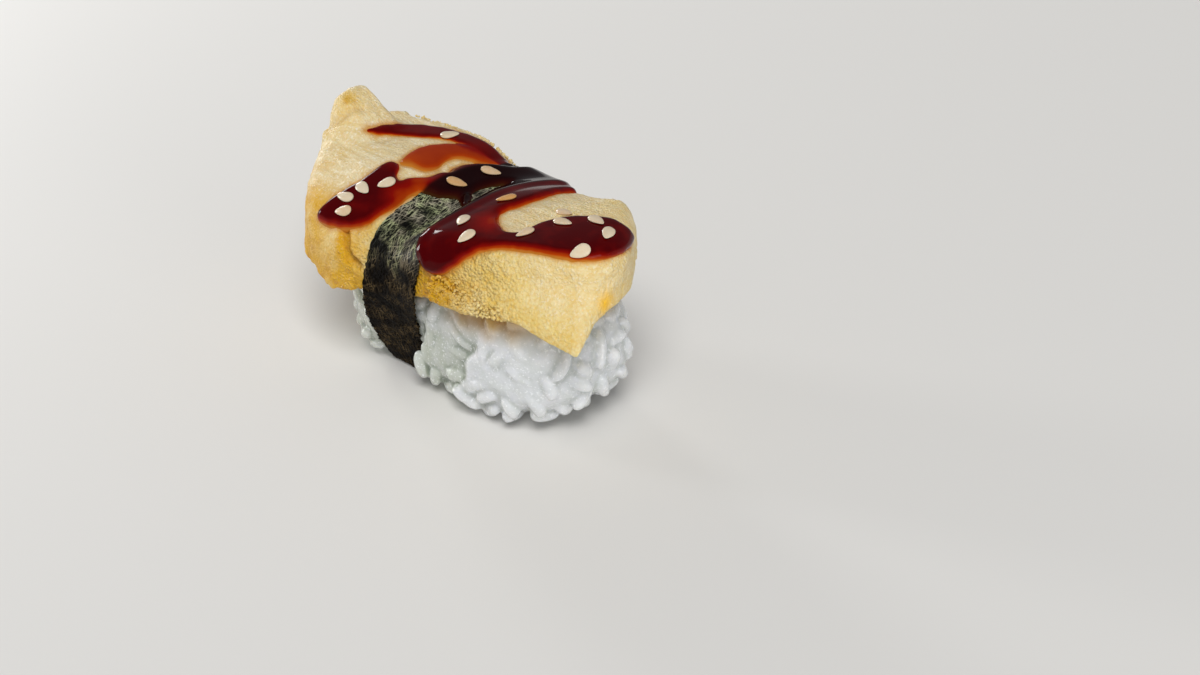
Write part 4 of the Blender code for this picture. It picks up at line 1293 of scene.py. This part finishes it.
def rice_finish(settings):
    """Moist cooked rice: cloudy and translucent, with painted shade in the furrows and the recess,
    painted glints, and painted shade with yellow bounce light close below the slab.
    """
    make = Finish("rice")
    cloud = make.noise(2.4, 3.0)
    speck = make.rise(make.noise(0.42, 1.0), 0.61, 0.69)
    recess = make.attribute("recess")
    base = make.coats(
        make.mix(make.rise(cloud, 0.3, 0.75), settings.grain_colour, settings.shade_colour),
        # Painted shade in the recess where grains have come away.
        (recess * (0.25 + 0.8 * cloud), settings.recess_shade_colour),
        # Painted shade in the furrows between grains, stronger in the recess.
        (make.attribute("furrow") * (0.25 + 0.75 * recess), settings.furrow_shade_colour),
        # Painted glints: small highlights put into the colour.
        (speck * 0.6, settings.glint_colour),
        # Painted shade and yellow bounce light close below the slab.
        (make.attribute("under_slab"), settings.warm_shade_colour),
    )
    height = make.noise(0.5, 3.0) + 0.6 * make.noise(1.6, 2.0)
    return make.surface(
        Base_Color=base,
        Roughness=(0.12 + 0.24 * make.noise(1.1, 3.0)).clamped(),
        Normal=make.bump(height, 0.28, 0.5),
        Subsurface_Weight=1.0,
        Subsurface_Radius=(5.0, 4.8, 4.4),
        Subsurface_Scale=MM,
        Coat_Weight=0.5,
        Coat_Roughness=0.1,
    )


def grain_ends(point, turn, half_length):
    """Sample places along a grain's axis."""
    axis = np.array(Euler(turn).to_matrix() @ Vector((1.0, 0.0, 0.0)))
    return np.array([point + axis * share * half_length for share in GRAIN_SAMPLES])


def grain_fits(places, radius):
    """Whether the grain is over the floor, under the slab and inside the band, or nearly."""
    low = places[:, 2] - radius < 0.02
    covered = np.abs(places[:, 1]) < 15.0
    high = covered & (places[:, 2] + radius > slab_underside(places) - 0.1)
    wide = np.abs(places[:, 1]) + radius * 0.95 > band_reach(places, 0.3, 0.8) + 0.4
    hollow = places[:, 2] - radius < floor_hollow(places[:, 0], places[:, 1]) - 0.3
    return not (low.any() or high.any() or wide.any() or hollow.any())


def draw_grains(settings):
    """Places and turns of the grains, packed side by side over the pillow in a seeded draw."""
    draw = np.random.default_rng(settings.seed)
    half_length, radius = settings.half_length / MM, settings.half_width / MM
    apart = settings.spacing / MM
    places, turns, taken = [], [], np.empty((0, 3))
    cube = draw.uniform(-1, 1, (settings.tries, 3))
    axis = draw.choice(3, settings.tries, p=GRAIN_FACE_CHANCES)
    cube[np.arange(settings.tries), axis] = np.sign(cube[np.arange(settings.tries), axis])
    surface, normals = rice_surface(cube)
    for index, (spot, normal) in enumerate(zip(surface, normals)):
        under_slab = normal[2] > 0.75
        on_floor = normal[2] < -0.9 and abs(spot[1]) < 8.0
        if under_slab or on_floor:
            continue
        edge = max(smooth_step(8.0, 3.0, spot[2]), smooth_step(21.0, 25.0, spot[0]))
        gap = smooth_step(9.0, 5.0, spot[0]) * smooth_step(-8.0, -2.0, spot[0]) * (spot[1] < 0.0)
        edge *= 1.0 - 0.6 * gap
        spin, tilt = draw.uniform(0, math.tau), GRAIN_TILT + GRAIN_TILT_AT_EDGE * edge
        turn = lie_on(normal, spin, draw.normal(0.0, tilt))
        loose = draw.uniform() < LOOSE_CHANCE + LOOSE_CHANCE_IN_GAP * gap
        stands_out = max(GRAIN_OUT_AT_EDGE * edge, GRAIN_OUT_IF_LOOSE * loose)
        deeper = GRAIN_LATE_DEPTH * index / settings.tries - stands_out
        place = spot - normal * (draw.uniform(*GRAIN_DEPTH) + deeper)
        ends = grain_ends(place, turn, half_length)
        clear = not len(taken) or np.linalg.norm(taken[:, None] - ends, axis=2).min() > apart
        if clear and grain_fits(ends, radius):
            places.append(place)
            turns.append(turn)
            taken = np.vstack([taken, ends])
    return np.array(places), turns


def make_grains(settings, finish):
    """A mesh of loose grains round the pillow."""
    places, turns = draw_grains(settings)
    draw = np.random.default_rng(settings.seed + 1)
    spread = [draw.normal(1.0, deviation, len(places)) for deviation in (0.11, 0.07, 0.07)]
    inputs = {"Half Length": settings.half_length, "Half Width": settings.half_width,
              "Half Height": settings.half_width * 0.95, "Taper": 0.06, "Plumpness": 0.25,
              "Bend": 0.28 * MM, "Unevenness": 0.5 * MM, "Segments": 9, "Rings": 8,
              "Size Spread": 0.06, "Seed": settings.seed, "Material": finish}
    values = {"turn": turns, "stretch": np.stack(spread, axis=1)}
    return lay_beads("rice_grains", places, values, inputs)


def hollowness(mesh, points):
    """How far each vertex lies below its neighbours: positive in the furrows between grains."""
    ends = read(mesh.edges, "vertices", 2, np.int32)
    start, end = np.concatenate([ends, ends[:, ::-1]]).T
    count = np.maximum(np.bincount(start, minlength=len(points)), 1)

    def neighbours(values):
        return np.bincount(start, weights=values[end], minlength=len(points)) / count

    around = np.stack([neighbours(points[:, axis]) for axis in range(3)], axis=1)
    hollow = ((around - points) * read(mesh.vertices, "normal", 3)).sum(axis=1)
    for _ in range(FURROW_SHADE_ROUNDS):
        hollow = (hollow + neighbours(hollow)) / 2
    return hollow


def rice_core(settings):
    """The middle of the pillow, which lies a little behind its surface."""
    shares, quads = box_shell(RICE_CORE_CELLS)
    points, normals = rice_surface(shares * 2 - 1)
    low = smooth_step(8.0, 2.0, points[:, 2])
    sink = settings.core_sink / MM + 0.5 * low + 0.3 * smooth_noise(points, 3.0, 2)
    points = points - normals * sink[:, None]
    points[:, 2] = np.maximum(points[:, 2], 0.0)
    return new_mesh("rice_core", points, quads, {})


def one_skin(name, parts, cell):
    """One soft skin round meshes that overlap."""
    joined = bmesh.new()
    for part in parts:
        joined.from_mesh(part)
    data = bpy.data.meshes.new(name + "_loose")
    joined.to_mesh(data)
    joined.free()
    loose = add_object(name + "_loose", data)
    stick = loose.modifiers.new("Stick", "REMESH")
    stick.mode, stick.voxel_size = "VOXEL", cell
    soften = loose.modifiers.new("Soften", "SMOOTH")
    soften.factor, soften.iterations = 0.5, 3
    skin = plain_mesh(loose, name)
    skin.shade_smooth()
    return skin


def make_rice(settings):
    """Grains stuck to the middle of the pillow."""
    finish = rice_finish(settings)
    parts = rice_core(settings), make_grains(settings, finish)
    skin = one_skin("rice_grains", parts, settings.cell)
    points = mesh_points(skin)
    # Painted shade and yellow bounce light on the rice close below the slab's underside.
    below = slab_underside(points) - points[:, 2] + 0.9 * smooth_noise(points, 2.6)
    x = points[:, 0] + 0.8 * smooth_noise(points, 3.0)
    warm_shade = smooth_step(8.0, 2.0, below) * smooth_step(25.0, 17.0, x) * smooth_step(2.0, 8.0, x)
    # Painted shade in the furrows between grains.
    furrow = smooth_step(*FURROW_SHADE_DEPTHS, hollowness(skin, points))
    set_values(skin, {"under_slab": warm_shade, "recess": rice_recess(points), "furrow": furrow})
    add_piece("rice_grains", skin, finish, "rice")


# ---------------------------------------------------------------- stage


CAMERA_TURN = math.radians(45.0)
CAMERA_DROP = math.radians(30.0)
CAMERA_ROLL = math.radians(-1.0)
CAMERA_DISTANCE = 0.59016
IMAGE_WIDTH, IMAGE_HEIGHT = 1200, 675
FOCAL_PIXELS = 3600.0
SLAB_FRAME_ORIGIN_PIXEL = (488.0, 372.0)

# The lights: side, place and size of each softbox in metres, and the key light's direction.
SOFTBOXES = (
    ("left", (-0.50, -0.19, 0.09), (0.10, 0.14)),
    ("right", (0.49, -0.08, 0.09), (0.25, 0.16)),
    ("rim", (-0.50, 0.16, 0.13), (0.11, 0.17)),
)
OBJECT_MIDDLE = Vector((0.0, 0.0, 0.02))
KEY_LIGHT_HEADING = Vector((-0.42, 0.43, -0.80))
KEY_LIGHT_SPREAD = math.radians(28.0)


def make_camera():
    """The camera: it looks down and across from the near right."""
    turn, drop, roll = CAMERA_TURN, CAMERA_DROP, CAMERA_ROLL
    right = np.array((math.cos(turn), math.sin(turn), 0.0))
    ahead = np.array((-math.sin(turn), math.cos(turn), 0.0))
    high = np.array((0.0, 0.0, 1.0))
    forward = math.cos(drop) * ahead - math.sin(drop) * high
    upward = math.sin(drop) * ahead + math.cos(drop) * high
    side = math.cos(roll) * right + math.sin(roll) * upward
    up = math.cos(roll) * upward - math.sin(roll) * right
    x = (SLAB_FRAME_ORIGIN_PIXEL[0] - IMAGE_WIDTH / 2) / FOCAL_PIXELS * CAMERA_DISTANCE
    y = (IMAGE_HEIGHT / 2 - SLAB_FRAME_ORIGIN_PIXEL[1]) / FOCAL_PIXELS * CAMERA_DISTANCE
    place = TO_FRAME * MM - (side * x + up * y + forward * CAMERA_DISTANCE)
    lens = bpy.data.cameras.new("camera")
    lens.sensor_width = 36.0
    lens.lens = FOCAL_PIXELS / IMAGE_WIDTH * lens.sensor_width
    lens.clip_start = 0.01
    camera = add_object("camera", lens)
    matrix = np.eye(4)
    matrix[:3, 0], matrix[:3, 1], matrix[:3, 2], matrix[:3, 3] = side, up, -forward, place
    camera.matrix_world = Matrix(matrix.tolist())
    bpy.context.scene.camera = camera


def lights_up(heading):
    """The turn of a light that shines along the heading."""
    return heading.to_track_quat("-Z", "Y").to_euler()


def add_softbox(name, place, size, power):
    """A soft rectangular light that points at the middle of the object."""
    light = bpy.data.lights.new(name, "AREA")
    light.shape = "RECTANGLE"
    light.size, light.size_y = size
    light.energy = power
    softbox = add_object(name, light)
    softbox.location = place
    softbox.rotation_euler = lights_up(OBJECT_MIDDLE - Vector(place))


def make_floor(settings):
    """The plain floor, which is stage and no part of the piece."""
    half = settings.floor_size / 2
    corners = [(-half, -half, 0.0), (half, -half, 0.0), (half, half, 0.0), (-half, half, 0.0)]
    data = bpy.data.meshes.new("floor")
    data.from_pydata(corners, [], [(0, 1, 2, 3)])
    make = Finish("floor")
    data.materials.append(make.surface(Base_Color=opaque(settings.floor_colour), Roughness=0.6))
    floor = add_object("floor", data)


def make_stage(settings):
    """Camera, floor, lights and the light from all round."""
    make_camera()
    make_floor(settings)
    for side, place, size in SOFTBOXES:
        add_softbox(side + "_light", place, size, getattr(settings, side + "_power"))
    sun = bpy.data.lights.new("key_light", "SUN")
    sun.energy, sun.angle = settings.key_strength, KEY_LIGHT_SPREAD
    key = add_object("key_light", sun)
    key.visible_glossy = False
    key.rotation_euler = lights_up(KEY_LIGHT_HEADING)
    scene = bpy.context.scene
    scene.world = bpy.data.worlds.new("studio")
    scene.world.use_nodes = True
    background = scene.world.node_tree.nodes["Background"]
    background.inputs["Color"].default_value = opaque(settings.air_colour)
    background.inputs["Strength"].default_value = settings.air_strength
    scene.view_settings.view_transform = "Standard"


# ---------------------------------------------------------------- settings


def length(name, description, millimetres):
    """A length whose default is given in millimetres."""
    return FloatProperty(name=name, description=description, default=millimetres * MM,
                         min=0.0, precision=5, subtype="DISTANCE", unit="LENGTH")


def colour(name, description, code):
    """A colour whose default is given as a six-digit hex code."""
    return FloatVectorProperty(name=name, description=description, default=paint(code),
                               size=3, min=0.0, max=1.0, subtype="COLOR")


def whole(name, description, default):
    """A whole number."""
    return IntProperty(name=name, description=description, default=default, min=0)


def strength(name, description, default, unit="NONE"):
    """The strength of a light."""
    return FloatProperty(name=name, description=description, default=default, min=0.0, unit=unit)


class OmeletteSettings(bpy.types.PropertyGroup):
    """Sizes and colours of the omelette slab."""

    cell: length("Cell", "Size of the mesh cells on the slab", 0.34)
    skin_colour: colour("Skin", "The pale top", "EFE0B8")
    skin_dark: colour("Skin streaks", "Soft streaks in the pale top", "DFC48A")
    crumb_colour: colour("Crumb", "The yellow sides", "ECD89C")
    crumb_dark: colour("Crumb patches", "Deeper patches on the sides", "E4C674")
    golden_colour: colour("Golden", "Golden crumb", "DCA81E")
    spot_colour: colour("Spot", "The orange spot on the right end", "FFC41E")
    brown_colour: colour("Browned", "Browned spots in it", "C68A26")
    # Glints: the colour of the painted glints.
    glint_colour: colour("Glints", "Fine wet glints", "FFFAEA")
    # Crease shade: painted shade inside the creases and the fold.
    crease_shade_colour: colour("Crease", "The inside of the creases", "B07C2A")
    stain_colour: colour("Stain", "Where sauce has soaked in", "C98A35")


class CrumbSettings(bpy.types.PropertyGroup):
    """How many loose crumbs lie along the slab's edges."""

    far_count: whole("Far crumbs", "Crumbs along the torn far edge", 130)
    near_count: whole("Near crumbs", "Crumbs along the near hem", 1000)
    seed: whole("Seed", "Number that the draw starts from", 5)


class SauceSettings(bpy.types.PropertyGroup):
    """Depth and colours of the sauce."""

    cell: length("Cell", "Size of the mesh cells in the sauce", 0.27)
    depth: length("Depth", "Depth in the middle of a pool", 0.9)
    rim: length("Rim", "Width of the round rim of a pool", 1.3)
    fade_along: length("Fade along", "How far the thin edge reaches along the slab", 0.35)
    fade_across: length("Fade across", "How far the thin edge reaches across the slab", 0.7)
    settle_rounds: whole("Smoothing", "Rounds of smoothing of the sauce's surface", 3)
    edge_colour: colour("Edge", "The thinnest rim", "C07A2A")
    thin_colour: colour("Thin", "Thin sauce", "A83A04")
    middle_colour: colour("Middle", "Sauce of middling depth", "7E0A03")
    deep_colour: colour("Deep", "The deepest sauce", "470003")
    over_nori_colour: colour("Over nori", "Sauce that lies on the nori", "0D0405")


class SesameSettings(bpy.types.PropertyGroup):
    """Size and colours of the sesame seeds."""

    half_length: length("Half length", "Half the length of a seed", 1.6)
    half_width: length("Half width", "Half the width of a seed", 0.93)
    half_height: length("Half height", "Half the thickness of a seed", 0.36)
    sink: length("Sink", "How deep a seed lies in the sauce", 0.12)
    seed: whole("Seed", "Number that the draw starts from", 3)
    pale_colour: colour("Pale", "A plain seed", "DBCBB0")
    toasted_colour: colour("Toasted", "A toasted seed", "C99657")


class NoriSettings(bpy.types.PropertyGroup):
    """Mesh and colours of the nori band."""

    across_count: whole("Across", "Points across the band's width", 60)
    dark_colour: colour("Dark", "The darkest nori", "0A0A07")
    green_colour: colour("Green", "Its green ridges", "22281C")
    fibre_colour: colour("Green fibre", "Its green fibres", "D4DCA8")
    hair_colour: colour("Hairs", "Its pale hairs low on the side", "6E5C40")
    grey_colour: colour("Grey fibre", "Its grey fibres", "C6BEA6")
    brown_colour: colour("Brown", "The damp brown lower part", "0C0704")


class RiceSettings(bpy.types.PropertyGroup):
    """Sizes, numbers and colours of the rice."""

    cell: length("Cell", "Size of the mesh cells on the rice", 0.33)
    half_length: length("Half length", "Half the length of a grain", 2.6)
    half_width: length("Half width", "Half the width of a grain", 1.2)
    spacing: length("Spacing", "Least distance between the cores of two grains", 1.85)
    core_sink: length("Core sink", "How far the core lies behind the pillow's surface", 0.3)
    tries: whole("Tries", "Places tried for a grain", 12000)
    seed: whole("Seed", "Number that the draw starts from", 11)
    grain_colour: colour("Grain", "A grain of rice", "E0E2E6")
    shade_colour: colour("Shade", "Clearer places in a grain", "D2D6D5")
    # Glints: the colour of the painted glints.
    glint_colour: colour("Glints", "Fine glints on the grains", "F8FAFC")
    # Recess shade: painted shade where grains have come away.
    recess_shade_colour: colour("Recess", "Where grains have come away", "B2B9A6")
    # Furrow shade: painted shade between the grains.
    furrow_shade_colour: colour("Furrows", "Furrows between the grains", "99A294")
    # Warm shade: painted shade and yellow bounce light below the omelette.
    warm_shade_colour: colour("Warm", "Rice close below the omelette", "D6B272")


class StageSettings(bpy.types.PropertyGroup):
    """Floor and light."""

    floor_size: length("Floor size", "Side of the square floor", 6000.0)
    floor_colour: colour("Floor", "The plain floor", "E4E2DE")
    air_colour: colour("Air", "Light from all round", "F2F4F7")
    air_strength: strength("Air strength", "Strength of the light from all round", 0.24)
    key_strength: strength("Key light", "Strength of the main light from the front", 2.2)
    left_power: strength("Left light", "Power of the light on the left", 0.9, "POWER")
    right_power: strength("Right light", "Power of the light on the right", 0.5, "POWER")
    rim_power: strength("Rim light", "Power of the light behind, on the left", 0.7, "POWER")


# ---------------------------------------------------------------- operators and panel


class NIGIRI_OT_stage(bpy.types.Operator):
    """Set the camera, the floor and the lights"""

    bl_idname = "nigiri.stage"
    bl_label = "Stage"

    def execute(self, context):
        make_stage(context.scene.nigiri_stage)
        return {"FINISHED"}


class NIGIRI_OT_omelette(bpy.types.Operator):
    """Make the draped slab of omelette and its loose crumbs"""

    bl_idname = "nigiri.omelette"
    bl_label = "Omelette"

    def execute(self, context):
        make_slab(context.scene.nigiri_omelette)
        make_crumbs(context.scene.nigiri_crumbs)
        return {"FINISHED"}


class NIGIRI_OT_sauce(bpy.types.Operator):
    """Pour the thick sauce over slab and band"""

    bl_idname = "nigiri.sauce"
    bl_label = "Sauce"

    def execute(self, context):
        make_sauce(context.scene.nigiri_sauce)
        return {"FINISHED"}


class NIGIRI_OT_sesame(bpy.types.Operator):
    """Drop the sesame seeds on the sauce"""

    bl_idname = "nigiri.sesame"
    bl_label = "Sesame seeds"

    def execute(self, context):
        make_seeds(context.scene.nigiri_sesame)
        return {"FINISHED"}


class NIGIRI_OT_nori(bpy.types.Operator):
    """Wrap the nori band round slab and rice"""

    bl_idname = "nigiri.nori"
    bl_label = "Nori band"

    def execute(self, context):
        make_nori(context.scene.nigiri_nori)
        return {"FINISHED"}


class NIGIRI_OT_rice(bpy.types.Operator):
    """Press the rice: a packed core and its grains"""

    bl_idname = "nigiri.rice"
    bl_label = "Rice"

    def execute(self, context):
        make_rice(context.scene.nigiri_rice)
        return {"FINISHED"}


class NIGIRI_PT_panel(bpy.types.Panel):
    """Buttons and settings of the nigiri"""

    bl_idname = "NIGIRI_PT_panel"
    bl_label = "Tamago nigiri"
    bl_space_type = "VIEW_3D"
    bl_region_type = "UI"
    bl_category = "Nigiri"

    def draw(self, context):
        for operator, groups in MAKERS.items():
            box = self.layout.box()
            box.operator(operator.bl_idname)
            for group in groups:
                held = getattr(context.scene, group)
                for name in held.__annotations__:
                    box.prop(held, name)


# The operators, each with the settings that it reads, and the class of each group of settings.
MAKERS = {
    NIGIRI_OT_stage: ["nigiri_stage"],
    NIGIRI_OT_omelette: ["nigiri_omelette", "nigiri_crumbs"],
    NIGIRI_OT_sauce: ["nigiri_sauce"],
    NIGIRI_OT_nori: ["nigiri_nori"],
    NIGIRI_OT_sesame: ["nigiri_sesame"],
    NIGIRI_OT_rice: ["nigiri_rice"],
}
GROUPS = {
    "nigiri_stage": StageSettings,
    "nigiri_omelette": OmeletteSettings,
    "nigiri_crumbs": CrumbSettings,
    "nigiri_sauce": SauceSettings,
    "nigiri_sesame": SesameSettings,
    "nigiri_nori": NoriSettings,
    "nigiri_rice": RiceSettings,
}
CLASSES = (*GROUPS.values(), *MAKERS, NIGIRI_PT_panel)


def register():
    """Registers the classes and hangs each group of settings on the scene."""
    for each in CLASSES:
        bpy.utils.register_class(each)
    for name, group in GROUPS.items():
        setattr(bpy.types.Scene, name, PointerProperty(type=group))


def unregister():
    """Undoes what register does, in reverse."""
    for name in GROUPS:
        delattr(bpy.types.Scene, name)
    for each in reversed(CLASSES):
        bpy.utils.unregister_class(each)


def main():
    """Makes the stage and every piece."""
    register()
    bpy.ops.nigiri.stage()
    bpy.ops.nigiri.omelette()
    bpy.ops.nigiri.sauce()
    bpy.ops.nigiri.nori()
    bpy.ops.nigiri.sesame()
    bpy.ops.nigiri.rice()


if __name__ == "__main__":
    main()
